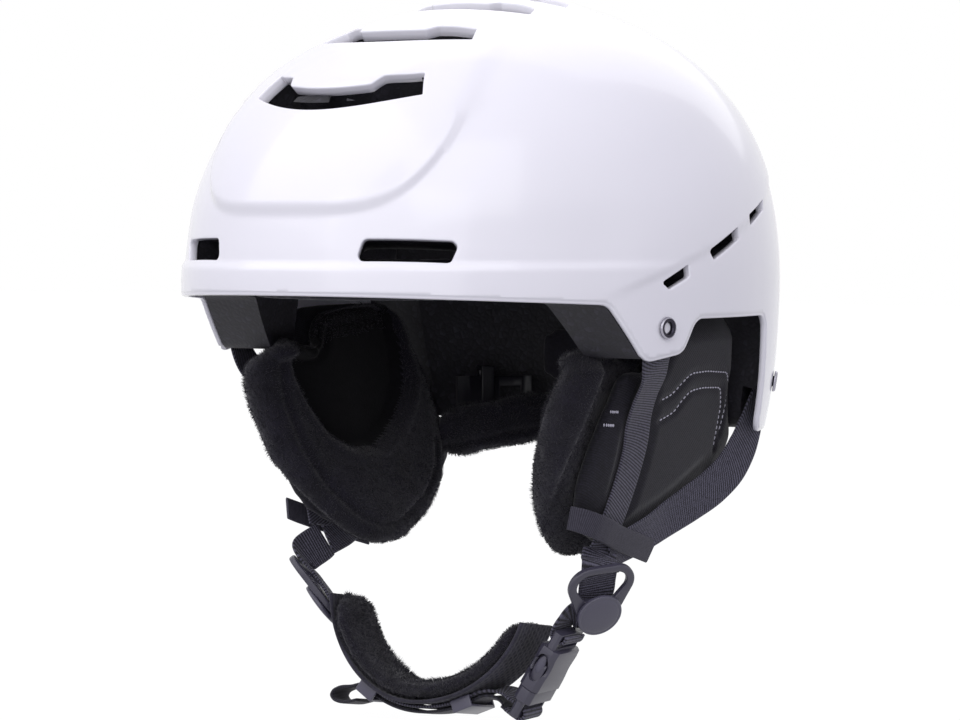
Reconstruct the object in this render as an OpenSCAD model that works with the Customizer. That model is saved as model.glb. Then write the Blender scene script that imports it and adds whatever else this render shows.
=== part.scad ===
// Ski helmet, medium adult size: a moulded outer shell over a foam liner,
// fleece ear pads and neck roll, a dial fit system and a buckled chin strap.
// +Z is up, the face opening looks along -Y, and +X is the wearer's left.
// The origin is the middle of the head opening, level with the brim.

/* [Shell] */
// Width of the shell above the ears
shell_w = 224; // [212:1:236]
// Length of the shell from brow to back
shell_l = 282; // [268:1:296]
// Height of the crown above the brim line
crown_h = 124.5; // [116:0.5:134]
// How far the top of the crown sits behind the middle
crown_back = 24; // [14:1:30]
// Wall of the moulded shell
shell_t = 2.4; // [2:0.1:3.2]
// How far the band above the brow is sunk below the brim and the crown panel
band_sink = 2.7; // [0.5:0.1:3.5]
// How far the crown panel stands proud
panel_rise = 1.2; // [0:0.1:2]

/* [Lower edge] */
// Height of the brim at the front
brim_z = 3.6; // [0:0.2:7]
// Height of the brim where it meets the temple tabs
brim_side_z = 0.3; // [-3:0.1:3]
// Lowest point of the temple tabs
tab_z = -21.5; // [-26:0.5:-16]
// Height of the ear notches
notch_z = -5.6; // [-9:0.2:-3]
// Lowest point of the shell at the back
tail_z = -54; // [-58:0.5:-50]
// Rounding of the corners of the lower edge
edge_r = 5; // [3:0.5:6]

/* [Vents] */
// Height of the slots above the brow
brow_vent_h = 8; // [5:0.5:10]
// Height of the middle of each crown slot
crown_vent_h = 6.4; // [4:0.2:7]
// How much taller the front crown slot is
front_row_more = 1.8; // [0:0.2:2]
// Half the width of the crown slots
crown_vent_w = 34; // [26:1:36]
// How much taller the ends of a crown slot are
crown_notch_h = 3.6; // [2:0.2:5]
// Height of the slots along the sides
side_vent_h = 4.4; // [3:0.2:6]

/* [Liner and pads] */
// Wall of the foam liner
liner_t = 24.4; // [20:0.2:27]
// Gap between a part and the one that it seats on
seat = 0.3; // [0.2:0.05:0.5]
// Thickness of the comfort pads
pad_t = 5.5; // [4:0.5:7]
// Thickness of the outer cover of an ear pad
ear_cover_t = 11; // [8:0.5:13]
// Thickness of the fleece side of an ear pad
ear_fleece_t = 14; // [10:0.5:16]
// Thickness of the neck roll
roll_t = 12.5; // [9:0.5:14]
// Height of the neck roll
roll_h = 27; // [20:1:30]

/* [Straps] */
// Width of the webbing
web_w = 16; // [14:0.5:18]
// Thickness of the webbing
web_t = 1.4; // [1:0.1:1.8]
// Width of the elastic keepers at the foot of the ear pads
band_w = 10; // [8:0.5:13]
// Width of the chin pad
chin_w = 32; // [26:1:36]
// Thickness of the fleece side of the chin pad
chin_t = 6.5; // [5:0.5:8]
// Diameter of the strap rivets' heads
rivet_d = 8.6; // [7:0.1:10]

/* [Strap rings and buckle] */
// Width of the strap rings
ring_w = 29; // [27:0.5:32]
// Thickness of the strap rings
ring_t = 2.8; // [2:0.1:3.4]
// Diameter of the round discs on the rings
disc_d = 19; // [16:0.5:20]
// Width of the buckle
buckle_w = 22; // [21:0.5:26]
// Thickness of the buckle
buckle_t = 9; // [8.5:0.5:11]
// Length of the buckle socket
socket_l = 19; // [18:0.5:22]
// Wall of the buckle socket
socket_wall = 1.6; // [1.2:0.1:1.8]

/* [Fit dial] */
// Diameter of the dial
dial_d = 30; // [26:1:32]
// Depth of the dial's rim
dial_h = 9; // [7:0.5:11]
// Height of the dial's axis
dial_z = -44; // [-46:0.5:-43]
// Teeth of the dial's pinion, one millimetre of pitch diameter each
pinion_teeth = 12; // [12:4:16]
// Room between the middle of the rack arms and the liner's side walls
arm_room = 18; // [17:1:19]
// Thickness of the rack arms
arm_t = 2.4; // [2:0.1:2.6]
// Play between the arms and their guides
arm_play = 0.4; // [0.3:0.05:0.5]
// Backlash between the teeth of the pinion and of the racks
backlash = 0.35; // [0.3:0.05:0.45]

/* [Goggle keeper] */
// Width of the rubber keeper
keeper_w = 20; // [16:1:26]
// Thickness of the rubber keeper
keeper_t = 2.4; // [1.8:0.1:3]
// Height of the keeper's upper end
keeper_top_z = 26; // [20:1:32]
// Height of the keeper's snap
keeper_snap_z = -18; // [-20:1:-14]
// How far the keeper bows out over the goggle strap
keeper_bow = 6.5; // [6:0.5:9]

/* [Hidden] */

// ---- vectors and lofts ----

function unit(v) = v / norm(v);
function ease(t) = let (u = min(1, max(0, t))) u * u * (3 - 2 * u);

// Faces of a loft over m rings of n points: triangles between the rings, and flat caps
function loft_faces(m, n) = concat(
  [[for (k = [0:n - 1]) k]],
  [for (i = [0:m - 2], k = [0:n - 1])
    let (a = i * n + k, b = i * n + (k + 1) % n)
    each [[a, a + n, b + n], [a, b + n, b]]],
  [[for (k = [n - 1:-1:0]) (m - 1) * n + k]]
);

// Joins a list of rings; each ring runs anticlockwise seen from the last ring
module loft(rings) {
  polyhedron([for (r = rings) each r], loft_faces(len(rings), len(rings[0])), convexity = 6);
}

// Direction of a line of stations at station i
function heading(s, i) = unit(s[min(i + 1, len(s) - 1)][0] - s[max(i - 1, 0)][0]);

// A flat strap. Each station is [middle point, direction that the face looks]
module strap(stations, w, t) {
  loft([for (i = [0:len(stations) - 1])
    let (h = heading(stations, i),
         side = unit(cross(stations[i][1], h)),
         out = cross(h, side),
         p = stations[i][0])
    [p - side * w / 2 - out * t / 2,
     p + side * w / 2 - out * t / 2,
     p + side * w / 2 + out * t / 2,
     p - side * w / 2 + out * t / 2]]);
}

// A soft roll along the same kind of stations, with an eight-sided rounded section
module roll(stations, w, t) {
  c = min(w, t) * 0.3;
  section = [[-w / 2 + c, -t / 2], [w / 2 - c, -t / 2], [w / 2, -t / 2 + c], [w / 2, t / 2 - c],
             [w / 2 - c, t / 2], [-w / 2 + c, t / 2], [-w / 2, t / 2 - c], [-w / 2, -t / 2 + c]];
  last = len(stations) - 1;
  loft([for (i = [0:last])
    let (h = heading(stations, i),
         side = unit(cross(stations[i][1], h)),
         out = cross(h, side),
         slim = (i == 0 || i == last) ? 0.7 : 1)
    [for (q = section) stations[i][0] + side * q[0] * slim + out * q[1] * slim]]);
}

// Places children with their X along ux and their Z along uz
module place(o, ux, uz) {
  uy = cross(uz, ux);
  multmatrix([[ux.x, uy.x, uz.x, o.x], [ux.y, uy.y, uz.y, o.y], [ux.z, uy.z, uz.z, o.z], [0, 0, 0, 1]])
    children();
}

// A short peg through point p along direction n
module peg(p, n, r, h, sides = 24) {
  u = unit(n);
  translate(p)
    rotate([0, acos(u.z), atan2(u.y, u.x)])
      cylinder(r = r, h = h, center = true, $fn = sides);
}

// The same piece on the right side
module right_side() {
  mirror([1, 0, 0])
    children();
}

// ---- the surface of the shell ----

// Depth of the slow taper below the brim line
skirt_h = 165;
// Lower edge of the crown panel
function panel_el(az) = 15.8 + 12 * pow(abs(az) / 32.2, 4.8);
function panel(az, el) = ease((el - panel_el(az)) / 4.4);
// Fades the sunk band out towards the temples
function brow(az) = 1 - ease((abs(az) - 58) / 30);
// Ledge that climbs along the side vents
function ledge_el(az) = 5 + (abs(az) - 76) * 0.35;
function ledge(az, el) =
  ease((abs(az) - 60) / 12) * (1 - ease((abs(az) - 128) / 20)) * ease((el - ledge_el(az)) / 2)
  * (1 - ease((el - ledge_el(az) - 5) / 18));

// How far the surface stands off the plain egg shape
function relief(az, el) =
  -band_sink * brow(az) * ease((el - 6) / 3) * (1 - ease((el - 11) / 9)) * (1 - panel(az, el))
  - brow(az) * ease((el - 11) / 9) * (1 - ease((el - 34) / 14)) * (1 - panel(az, el))
  + panel_rise * panel(az, el) * (1 - ease((el - 40) / 25))
  + ledge(az, el);

// A point of the egg at azimuth az (0 at the brow) and elevation el, moved out by off
function egg(az, el, off) =
  let (r = cos(el), h = el > 0 ? crown_h + off : skirt_h)
  [(shell_w / 2 + off) * sin(az) * r,
   -(shell_l / 2 + off) * cos(az) * r + crown_back * (1 - r),
   h * sin(el)];
function skin(az, el, off = 0) = egg(az, el, off + relief(az, el));
function skin_el(z) = z > 0 ? asin(z / crown_h) : asin(z / skirt_h);
function skin_z(az, z, off = 0) = skin(az, skin_el(z), off);

// A point near the top at sideways distance x; phi runs from the brow over to the back
function crown(x, phi, off = 0) =
  let (k = sqrt(1 - pow(x / (shell_w / 2), 2)),
       r = sqrt(1 - pow(sin(phi) * k, 2)))
  [x, -(shell_l / 2 + off) * cos(phi) * k + crown_back * (1 - r), (crown_h + off) * sin(phi) * k];

// Outward direction of the egg at a point
function outward(p) =
  unit([p.x / pow(shell_w / 2, 2), p.y / pow(shell_l / 2, 2), p.z / pow(p.z > 0 ? crown_h : skirt_h, 2)]);

module dome(off, plain = false, step = 6) {
  rows = [-25, -14, -4, 3, 6, 9, 12, 15, 18, 21, 24, 28, 33, 40, 48, 56, 64, 72, 80, 86];
  few = [-27, -14, 0, 12, 24, 36, 48, 60, 72, 84];
  loft([for (el = (plain ? few : rows))
    [for (az = [-180:step:180 - step]) plain ? egg(az, el, off) : skin(az, el, off)]]);
}

// ---- the lower edge ----

// Front edge of the ear notch
notch_front = -15;
// Back edge of the ear notch at its top
notch_back = 46.4;
// Front and back of the temple tab's lowest stretch
tab_front = -48;
tab_back = -25;
// Where the brim starts to fall to the temple tab
tab_start = -70;

// All that lies below the edge, seen from the side. notch and lift raise it for the liner
module below_edge(notch, lift) {
  far = shell_l;
  rotate([90, 0, 90])
    linear_extrude(shell_w + 60, center = true)
      offset(r = edge_r, $fn = 24)
        offset(r = -2 * edge_r, $fn = 24)
          offset(r = edge_r, $fn = 24)
            polygon([
              [-far, -far],
              [-far, brim_z + lift],
              [-shell_l / 2, brim_z + lift],
              [tab_start, brim_side_z + lift],
              [tab_front, tab_z + lift],
              [tab_back, tab_z + lift],
              [notch_front - lift, notch],
              [notch_back + lift, notch],
              [notch_back + 7 + lift, tail_z + lift],
              [far, tail_z + lift],
              [far, -far]
            ]);
}

// The arch at the back that lets the fingers reach the dial
arch_w = dial_d + 22;
arch_z = dial_z + dial_d / 2 + 4;
module dial_arch(grow) {
  translate([0, shell_l / 2, 0])
    rotate([90, 0, 0])
      linear_extrude(90, center = true)
        hull() {
          translate([0, arch_z - 12]) circle(r = 12 + grow, $fn = 32);
          translate([-arch_w / 2 - grow, tail_z - 20]) square([arch_w + 2 * grow, 4]);
        }
}

// ---- vents ----

// A slot with round corners through the skin between two azimuths
module skin_slot(az1, z1, az2, z2, h, depth, grow) {
  mid = skin_z((az1 + az2) / 2, (z1 + z2) / 2);
  hull()
    for (q = [[az1, z1], [az2, z2]], s = [-1, 1])
      peg(skin_z(q[0], q[1] + s * (h / 2 - 1)), outward(mid), 1 + grow, depth, 12);
}

// Rows of crown slots: the angle of each row's front edge, and how much taller it is
crown_rows = [[37.9, front_row_more], [56, 0], [72, 0], [84.4, 0]];
function slot_low(x, phi) = phi + 5.5 * pow(x / crown_vent_w, 2);
function slot_high(x, phi, more) =
  slot_low(x, phi) + (crown_vent_h + more + crown_notch_h * ease((abs(x) - 14.3) / 3)) * 180 / (PI * shell_l / 2);

// One crescent slot whose two ends are taller
module crown_slot(phi, more, depth, grow, stops) {
  for (i = [0:len(stops) - 2])
    hull()
      for (x = [stops[i], stops[i + 1]]) {
        p = crown(x, slot_low(x, phi));
        q = crown(x, slot_high(x, phi, more));
        peg(p, outward(crown(0, phi)), 0.8 + grow, depth, 6);
        peg(q, outward(crown(0, phi)), 0.8 + grow, depth, 6);
      }
}

module vents(depth, grow, stops) {
  for (s = [-1, 1]) {
    skin_slot(s * 17.5, 21.3, s * 35.2, 21.3, brow_vent_h, depth, grow);
    skin_slot(s * 76.3, 8, s * 81.4, 12.8, side_vent_h, depth, grow);
    skin_slot(s * 89.1, 19.5, s * 98.1, 26.9, side_vent_h, depth, grow);
    skin_slot(s * 105.4, 32.4, s * 117.2, 38, side_vent_h, depth, grow);
  }
  for (row = crown_rows)
    crown_slot(row[0], row[1], depth, grow, stops);
}

shell_stops = [for (x = [-1, -0.72, -0.53, -0.43, 0, 0.43, 0.53, 0.72, 1]) x * crown_vent_w];
liner_stops = [for (x = [-1, -0.42, 0, 0.42, 1]) x * crown_vent_w];

// ---- strap fixings ----

front_rivet = skin_z(76.2, -8.7);
rear_rivet = skin_z(125, -34);
rivet_shaft = 2.2;

// Runs its children at each of the four rivets, with Z pointing out of the shell
module at_rivets() {
  for (s = [-1, 1], p = [front_rivet, rear_rivet]) {
    q = [s * p.x, p.y, p.z];
    u = outward(q);
    place(q, unit(cross([0, 0, 1], u)), u)
      children();
  }
}

// ---- shell, liner and comfort pads ----

module outer_shell() {
  color("white")
    difference() {
      dome(0);
      dome(-shell_t, false, 9);
      below_edge(notch_z, 0);
      dial_arch(0);
      vents(shell_t * 5, 0, shell_stops);
      at_rivets()
        cylinder(r = rivet_shaft + 0.15, h = 12, center = true, $fn = 16);
    }
}

liner_off = -shell_t - 0.2;
inner_off = liner_off - liner_t;
liner_lift = 1;
ear_recess_z = 5;

module impact_liner() {
  color("dimgray")
    difference() {
      dome(liner_off, false, 9);
      dome(inner_off, true, 12);
      below_edge(ear_recess_z, liner_lift);
      dial_arch(1);
      vents(liner_t * 4, 1, liner_stops);
      // channels for the straps between the liner and the shell
      for (s = [0, 1])
        mirror([s, 0, 0]) {
          strap(front_stations(), web_w + 4, 8);
          strap(rear_stations(), web_w + 4, 8);
        }
    }
}

// Stations along the inside of the liner at height z
function inside(az1, az2, n, z, off) =
  [for (i = [0:n])
    let (p = egg(az1 + (az2 - az1) * i / n, skin_el(z), off))
    [p, outward(p)]];

// Middle of a pad that is w wide, so that its edges clear the liner's curved wall
function pad_off(w) =
  inner_off - pad_t / 2 - seat - 1 - w * w / 8 * (crown_h + inner_off) / pow(shell_w / 2 + inner_off, 2);

module brow_pad() {
  color("#1c1a26")
    roll(inside(-54, 54, 14, 13, pad_off(20)), 20, pad_t);
}

module crown_pad() {
  stations = [for (phi = [58:8:122])
    [crown(0, phi, pad_off(46)), outward(crown(0, phi))]];
  color("#1c1a26")
    roll(stations, 46, pad_t);
}

module side_pads() {
  color("#1c1a26")
    for (s = [-1, 1])
      roll(inside(s * 66, s * 112, 7, 20, pad_off(20)), 20, pad_t);
}

// Hollow rivets with a rolled rim
module strap_rivets() {
  r = rivet_d / 2;
  color("#55535f")
    at_rivets()
      rotate_extrude($fn = 32)
        polygon([
          [0, 0.5], [1.7, 0.5], [2.2, 1.3], [r - 1.2, 1.6], [r - 0.4, 1.2], [r, 0.6], [r, seat],
          [rivet_shaft, seat], [rivet_shaft, -7.4], [0, -7.4]
        ]);
}

// Washers that spread the load on the webbing behind the shell
module rivet_washers() {
  color("silver")
    at_rivets()
      translate([0, 0, -7.2])
        difference() {
          cylinder(r = 5.5, h = 0.8, $fn = 32);
          translate([0, 0, -1]) cylinder(r = rivet_shaft + 0.05, h = 3, $fn = 32);
        }
}

// ---- ear pads ----

// Outer face of the pad: it leans in towards the jaw and follows the cheek
ear_inset = 15;
ear_top_x = shell_w / 2 - ear_inset;
ear_lean = 0.35;
function ear_x(y, z) =
  ear_top_x + ear_lean * min(0, z + 15) - (y < 0 ? 0.0008 : 0.0022) * y * y;

// Outline of the fleece side, seen from the left
fleece_line = [
  [-17, -22.5], [-46, -23], [-56, -31], [-58, -46], [-54, -66], [-45, -83], [-30, -97],
  [-13, -103.5], [8, -101.5], [31, -92], [46, -79], [53, -58], [52, -30], [48, -8], [36, 1],
  [10, 1.5], [-11, -1]
];
// The cover starts behind the temple tab, and reaches up into the ear notch
cover_line = [
  [-17, -23], [-36, -24], [-39, -42], [-41, -60], [-40, -78], [-33, -92], [-18, -101],
  [0, -102], [22, -97], [38, -87], [48, -75], [52, -55], [51, -30], [46, -8], [36, 1.5],
  [10, 2.5], [-13, 1.5]
];

function shrunk(line, c, k) = [for (q = line) c + (q - c) * k];

// A pillow between the depths d1 (inner) and d2 (outer) below the pad's outer face
module pillow(line, d1, d2) {
  c = [0, -50];
  t = d1 - d2;
  layers = [[d1, 0.55], [d1 - 0.12 * t, 0.84], [d1 - 0.38 * t, 0.98], [d2 + 0.38 * t, 1],
            [d2 + 0.1 * t, 0.95], [d2, 0.8], [d2, 0.4]];
  loft([for (s = layers)
    [for (q = shrunk(line, c, s[1])) [ear_x(q[0], q[1]) - s[0], q[0], q[1]]]]);
}

module ear_cover() {
  color("#24222e")
    pillow(cover_line, ear_cover_t, 0);
}
module ear_fleece() {
  color("#14121c")
    pillow(fleece_line, ear_cover_t + 1 + ear_fleece_t, ear_cover_t + 1);
}
module left_ear_cover() ear_cover();
module right_ear_cover() right_side() ear_cover();
module left_ear_fleece() ear_fleece();
module right_ear_fleece() right_side() ear_fleece();

// ---- fit system: dial, pinion and two rack arms ----

// Teeth that a full circle of the racks would have
rack_circle = 2 * round(shell_w / 2 + inner_off - arm_room);
arm_r = rack_circle / 2;
// Room behind the arms, and the middle of the circle that they slide along
back_room = 16;
fit_y = shell_l / 2 + inner_off - back_room - arm_r;
pinion_r = pinion_teeth / 2;
arm_top = pinion_r + 4.8;
addendum = 0.9;
dedendum = 1.2;
pitch_angle = 360 / rack_circle;
channel_in = arm_r - arm_t / 2 - arm_play;
channel_out = arm_r + arm_t / 2 + arm_play;
channel_h = arm_top + 0.6;
housing_in = channel_in - 1.8;
housing_out = channel_out + 3.4;
housing_h = channel_h + 1.8;
shaft_r = 2.5;
shaft_play = 0.06;

// A ring sector about the fit axis: angles from the back, positive to the left
module sector(r1, r2, a1, a2, z1, z2) {
  translate([0, fit_y, dial_z])
    rotate([0, 0, 90 - a2])
      rotate_extrude(angle = a2 - a1, $fn = 180)
        translate([r1, z1])
          square([r2 - r1, z2 - z1]);
}

module fit_housing() {
  color("#2c2a34")
    difference() {
      union() {
        sector(housing_in, housing_out, -22, 22, -housing_h, housing_h);
        for (s = [-1, 1]) {
          // lugs that seat on the liner beside the arch
          sector(channel_out + 1, liner_seat_r(20), s * 20 - 1.5, s * 20 + 1.5, 0.5 - housing_h, housing_h - 0.5);
          // the two fingers that carry the cradle pad
          sector(housing_in + 0.2, housing_in + 1.6, s * 13 - 4, s * 13 + 4, housing_h - 0.5, housing_h + 18);
        }
      }
      sector(channel_in, channel_out, -30, 30, -channel_h, channel_h);
      translate([0, fit_y + arm_r, dial_z])
        rotate([-90, 0, 0])
          cylinder(r = shaft_r + shaft_play, h = 20, $fn = 48);
    }
}

// Distance from the fit axis to the liner's inner wall, just clear of it
liner_a = (shell_w / 2 + inner_off) * cos(skin_el(dial_z));
liner_b = (shell_l / 2 + inner_off) * cos(skin_el(dial_z));
function liner_seat_r(a) =
  let (u = sin(a) / liner_a, v = cos(a) / liner_b, c = fit_y / liner_b,
       qa = u * u + v * v, qb = 2 * v * c, qc = c * c - 1)
  (-qb + sqrt(qb * qb - 4 * qa * qc)) / (2 * qa) - 2;

// Sleeves on the liner that the free ends of the arms slide through
module arm_guides() {
  color("#2c2a34")
    for (s = [-1, 1])
      difference() {
        sector(channel_in - 1.4, liner_seat_r(50), s * 50 - 2.5, s * 50 + 2.5, -housing_h, housing_h);
        sector(channel_in, channel_out, s * 50 - 6, s * 50 + 6, -channel_h, channel_h);
      }
}

// One tooth of a rack: a trapezoid that narrows towards the pinion
module rack_tooth() {
  half = PI / 4 - backlash / 2;
  translate([0, arm_t / 2, 0])
    rotate([90, 0, 0])
      linear_extrude(arm_t)
        polygon([
          [-half - 0.4, -dedendum - 0.2], [-half - 0.4, -dedendum], [-half + 0.3, addendum],
          [half - 0.3, addendum], [half + 0.4, -dedendum], [half + 0.4, -dedendum - 0.2]
        ]);
}

// The left arm: a toothed strip over the pinion that widens into the side plate
module rack_arm() {
  r1 = arm_r - arm_t / 2;
  r2 = arm_r + arm_t / 2;
  difference() {
    union() {
      sector(r1, r2, -16, 62, pinion_r + dedendum, arm_top);
      sector(r1, r2, 33, 62, -arm_top + 2, arm_top);
      for (i = [-5:4])
        translate([0, fit_y, dial_z])
          rotate([0, 0, -(i + 0.5) * pitch_angle])
            translate([0, arm_r, pinion_r])
              rotate([180, 0, 0])
                rack_tooth();
    }
    sector(r1 - 1, r2 + 1, 37, 45, -4.5, 5.5);
  }
}
module left_arm() {
  color("#24222c")
    rack_arm();
}
module right_arm() {
  color("#24222c")
    translate([0, 0, dial_z])
      rotate([0, 180, 0])
        translate([0, 0, -dial_z])
          rack_arm();
}

// Pinion and its shaft, turned by the dial
module dial_pinion() {
  half = (PI / 4 - backlash / 2) * 180 / PI / pinion_r;
  pinion_w = arm_t - 0.1;
  color("#3a3844")
    translate([0, fit_y + arm_r, dial_z])
      rotate([-90, 0, 0]) {
        translate([0, 0, -pinion_w / 2])
          linear_extrude(pinion_w)
            polygon([for (i = [0:pinion_teeth - 1])
              let (a = 90 + i * 360 / pinion_teeth,
                   root = pinion_r - dedendum,
                   tip = pinion_r + addendum)
              each [
                root * [cos(a - half * 1.9), sin(a - half * 1.9)],
                tip * [cos(a - half * 0.5), sin(a - half * 0.5)],
                tip * [cos(a + half * 0.5), sin(a + half * 0.5)],
                root * [cos(a + half * 1.9), sin(a + half * 1.9)]
              ]]);
        cylinder(r = shaft_r, h = housing_out - arm_r + 3, $fn = 48);
      }
}

// Knob with finger scallops, hollow at the back round its hub
dial_y = fit_y + housing_out + 1.2;
module fit_dial() {
  scallops = 18;
  color("#201e28")
    translate([0, dial_y, dial_z])
      rotate([-90, 0, 0])
        difference() {
          union() {
            cylinder(r = dial_d / 2, h = dial_h - 1.2, $fn = 72);
            translate([0, 0, dial_h - 1.2])
              cylinder(r1 = dial_d / 2, r2 = dial_d / 2 - 1.2, h = 1.2, $fn = 72);
          }
          for (i = [0:scallops - 1])
            rotate([0, 0, i * 360 / scallops])
              translate([dial_d / 2 + 0.7, 0, -1])
                cylinder(r = 1.6, h = dial_h + 3, $fn = 24);
          translate([0, 0, -1])
            cylinder(r = shaft_r + 0.02, h = 3.4, $fn = 48);
          translate([0, 0, dial_h - 1])
            cylinder(r = dial_d / 2 - 4, h = 3, $fn = 72);
          translate([0, 0, -1])
            difference() {
              cylinder(r = dial_d / 2 - 3.4, h = dial_h - 2, $fn = 72);
              cylinder(r = shaft_r + 2, h = dial_h, $fn = 48);
            }
        }
}

// Stations round the nape, inside the arms
function nape(a1, a2, n, r, z0, sag) =
  [for (i = [0:n])
    let (a = a1 + (a2 - a1) * i / n)
    [[r * sin(a), fit_y + r * cos(a), z0 - sag * pow(abs(sin(a)), 2)], [sin(a), cos(a), 0]]];

module cradle_pad() {
  color("#1a1823")
    roll(nape(-30, 30, 8, housing_in - seat - pad_t / 2 - 0.4, dial_z + housing_h + 5, 0), 26, pad_t);
}

// The roll ends just behind the rear edge of the ear pads
ear_back = 53;
roll_r = housing_in - seat - roll_t / 2 - 0.3;
roll_end = min(67, acos((ear_back - fit_y) / roll_r));
module neck_roll() {
  color("#14121c")
    roll(nape(-roll_end, roll_end, 16, roll_r, dial_z - 11.5, 5), roll_h, roll_t);
}

// ---- straps over the ear pads ----

web_off = seat + web_t / 2;
function on_ear(y, z, off) = [ear_x(y, z) + off, y, z];
// Outward direction of the ear pad's face
function ear_out(y, z) =
  unit(cross([ear_x(y + 1, z) - ear_x(y - 1, z), 2, 0], [ear_x(y, z + 1) - ear_x(y, z - 1), 0, 2]));
function ear_stations(line, off) = [for (q = line) [on_ear(q[0], q[1], off), ear_out(q[0], q[1])]];

// From the front rivet, out under the temple tab and down over the cover
front_run = [[-19.5, -46], [-16.5, -56], [-15.5, -68], [-16, -80], [-17, -88], [-18, -95]];
rivet_in = -shell_t - web_t / 2 - 1.1;
function front_stations() =
  let (top = front_rivet + outward(front_rivet) * rivet_in)
  concat([
    [top + [0.3, 0, 8.5], [1, -0.2, 0]],
    [top, [1, -0.2, 0]],
    [top + [-1.6, 1.2, -12], [1, -0.2, -0.1]],
    [on_ear(-27, -29, web_off + 6), [1, -0.15, -0.1]],
    [on_ear(-23, -37.5, web_off + 2.2), [1, -0.1, -0.15]]
  ], ear_stations(front_run, web_off));

module front_strap() {
  color("#2a2834")
    difference() {
      strap(front_stations(), web_w, web_t);
      peg(front_rivet, outward(front_rivet), rivet_shaft + 0.1, 16);
    }
}

// From the rear rivet, forward and down to the same crossing, over the front strap
edge_x = 0.4 * shell_w - 0.8;
edge_y = shell_l / 4 - 6;
rear_run = [[44, -72], [33, -80], [20, -87.5], [8, -93], [-4, -97], [-15, -100]];
function rear_stations() =
  let (top = rear_rivet + outward(rear_rivet) * rivet_in)
  concat([
    [top + [-6, 7.2, 2], outward(rear_rivet)],
    [top, outward(rear_rivet)],
    [[edge_x, edge_y, -44], unit([1, 0.55, 0])],
    [[edge_x - 0.8, edge_y - 7.5, -55], unit([1, 0.4, -0.1])]
  ], ear_stations(rear_run, web_off + web_t + 0.4));

module rear_strap() {
  color("#2a2834")
    difference() {
      strap(rear_stations(), web_w, web_t);
      peg(rear_rivet, outward(rear_rivet), rivet_shaft + 0.1, 16);
    }
}
module left_front_strap() front_strap();
module right_front_strap() right_side() front_strap();
module left_rear_strap() rear_strap();
module right_rear_strap() right_side() rear_strap();

// Elastic band round the foot of the pad that holds the crossing down
band_run = [[-43, -78], [-37, -83.5], [-29, -88.5], [-18, -92.5], [-6, -95.5], [6, -97.5], [18, -98]];
module strap_keeper() {
  color("#3c3a46")
    strap(ear_stations(band_run, 2 * web_t + 3 * seat + 1), band_w, 1.2);
}
module left_strap_keeper() strap_keeper();
module right_strap_keeper() right_side() strap_keeper();

// ---- strap rings ----

// The straps hang free, so each ring has its own place: [middle, face direction, up along the strap]
left_hang = [[70.2, -21.7, -114.7], [0.75, -0.42, -0.51], [0.376, -0.363, 0.853]];
right_hang = [[-64, -33.7, -118], [-0.63, -0.47, -0.61], [-0.69, -0.02, 0.73]];
function ring_n(h) = unit(h[1]);
function ring_u(h) = unit(cross(h[2], ring_n(h)));
function ring_up(h) = cross(ring_n(h), ring_u(h));
function in_ring(h, u, v, n) = h[0] + ring_u(h) * u + ring_up(h) * v + ring_n(h) * n;

// Middle of the ring's upper corners and of its disc, along the strap
ring_corner = 7.5;
disc_drop = -9.5;
// Outline of two arcs of radius r at the upper corners and one round the disc
function ring_line(grow) =
  let (r = 5 + grow, x = ring_w / 2 - 5, lower = disc_d / 2 - 1 + grow)
  concat(
    [for (a = [-25:11.5:90]) [x + r * cos(a), ring_corner + r * sin(a)]],
    [for (a = [90:11.5:205]) [-x + r * cos(a), ring_corner + r * sin(a)]],
    [for (a = [205:13:335]) [lower * cos(a), disc_drop + lower * sin(a)]]
  );

module ring(h) {
  bar = 3;
  color("#2e2c38")
    place(h[0], ring_u(h), ring_n(h))
      difference() {
        translate([0, 0, -ring_t / 2])
          linear_extrude(ring_t)
            polygon(ring_line(0));
        translate([0, 0, -ring_t])
          linear_extrude(2 * ring_t)
            difference() {
              polygon(ring_line(-bar));
              translate([-ring_w / 2, -ring_w])
                square([ring_w, ring_w - 3]);
            }
      }
}
module left_ring() ring(left_hang);
module right_ring() ring(right_hang);

// Plain domed disc pressed on the lower corner of the ring
module ring_disc(h) {
  r = disc_d / 2;
  color("#383642")
    place(in_ring(h, 0, disc_drop, ring_t / 2 + 0.1), ring_u(h), ring_n(h))
      rotate_extrude($fn = 48)
        polygon([[0, 0], [r, 0], [r, 1.4], [r - 0.5, 2], [r - 1.5, 2.3], [0, 2.6]]);
}
module left_ring_disc() ring_disc(left_hang);
module right_ring_disc() ring_disc(right_hang);

// ---- chin strap: an elliptical arc in a plane that leans forward ----

// Half widths of the arc on the right and on the left of its lowest point, and its depth
chin_right = 43;
chin_left = 52.5;
chin_rz = 49.3;
chin_o = [-6.4, -28, -116];
chin_across = unit([1, 0.1, 0]);
// Runs across the webbing, towards the face opening
chin_side = unit(cross([0, -0.15, -1], chin_across));
chin_down = cross(chin_across, chin_side);
function chin_rx(a) = a > 0 ? chin_left : chin_right;
function chin(a, off) =
  chin_o + chin_across * (chin_rx(a) + off) * sin(a) + chin_down * (chin_rz + off) * cos(a);
function chin_out(a) = unit(chin_across * sin(a) / chin_rx(a) + chin_down * cos(a) / chin_rz);
function chin_stations(a1, a2, n, off) =
  [for (i = [0:n]) let (a = a1 + (a2 - a1) * i / n) [chin(a, off), chin_out(a)]];

// Right and left end of the chin pad along the arc
pad_far = -84;
pad_near = 75;
base_t = 1.6;
base_off = web_t / 2 + seat + base_t / 2;
module chin_pad() {
  color("#14121c")
    roll(chin_stations(pad_far, pad_near, 22, -base_off - base_t / 2 - 0.6 - chin_t / 2), chin_w, chin_t);
}
module chin_pad_base() {
  color("#2a2834")
    strap(chin_stations(pad_far + 1, pad_near - 1, 22, -base_off), chin_w - 5, base_t);
}

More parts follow.
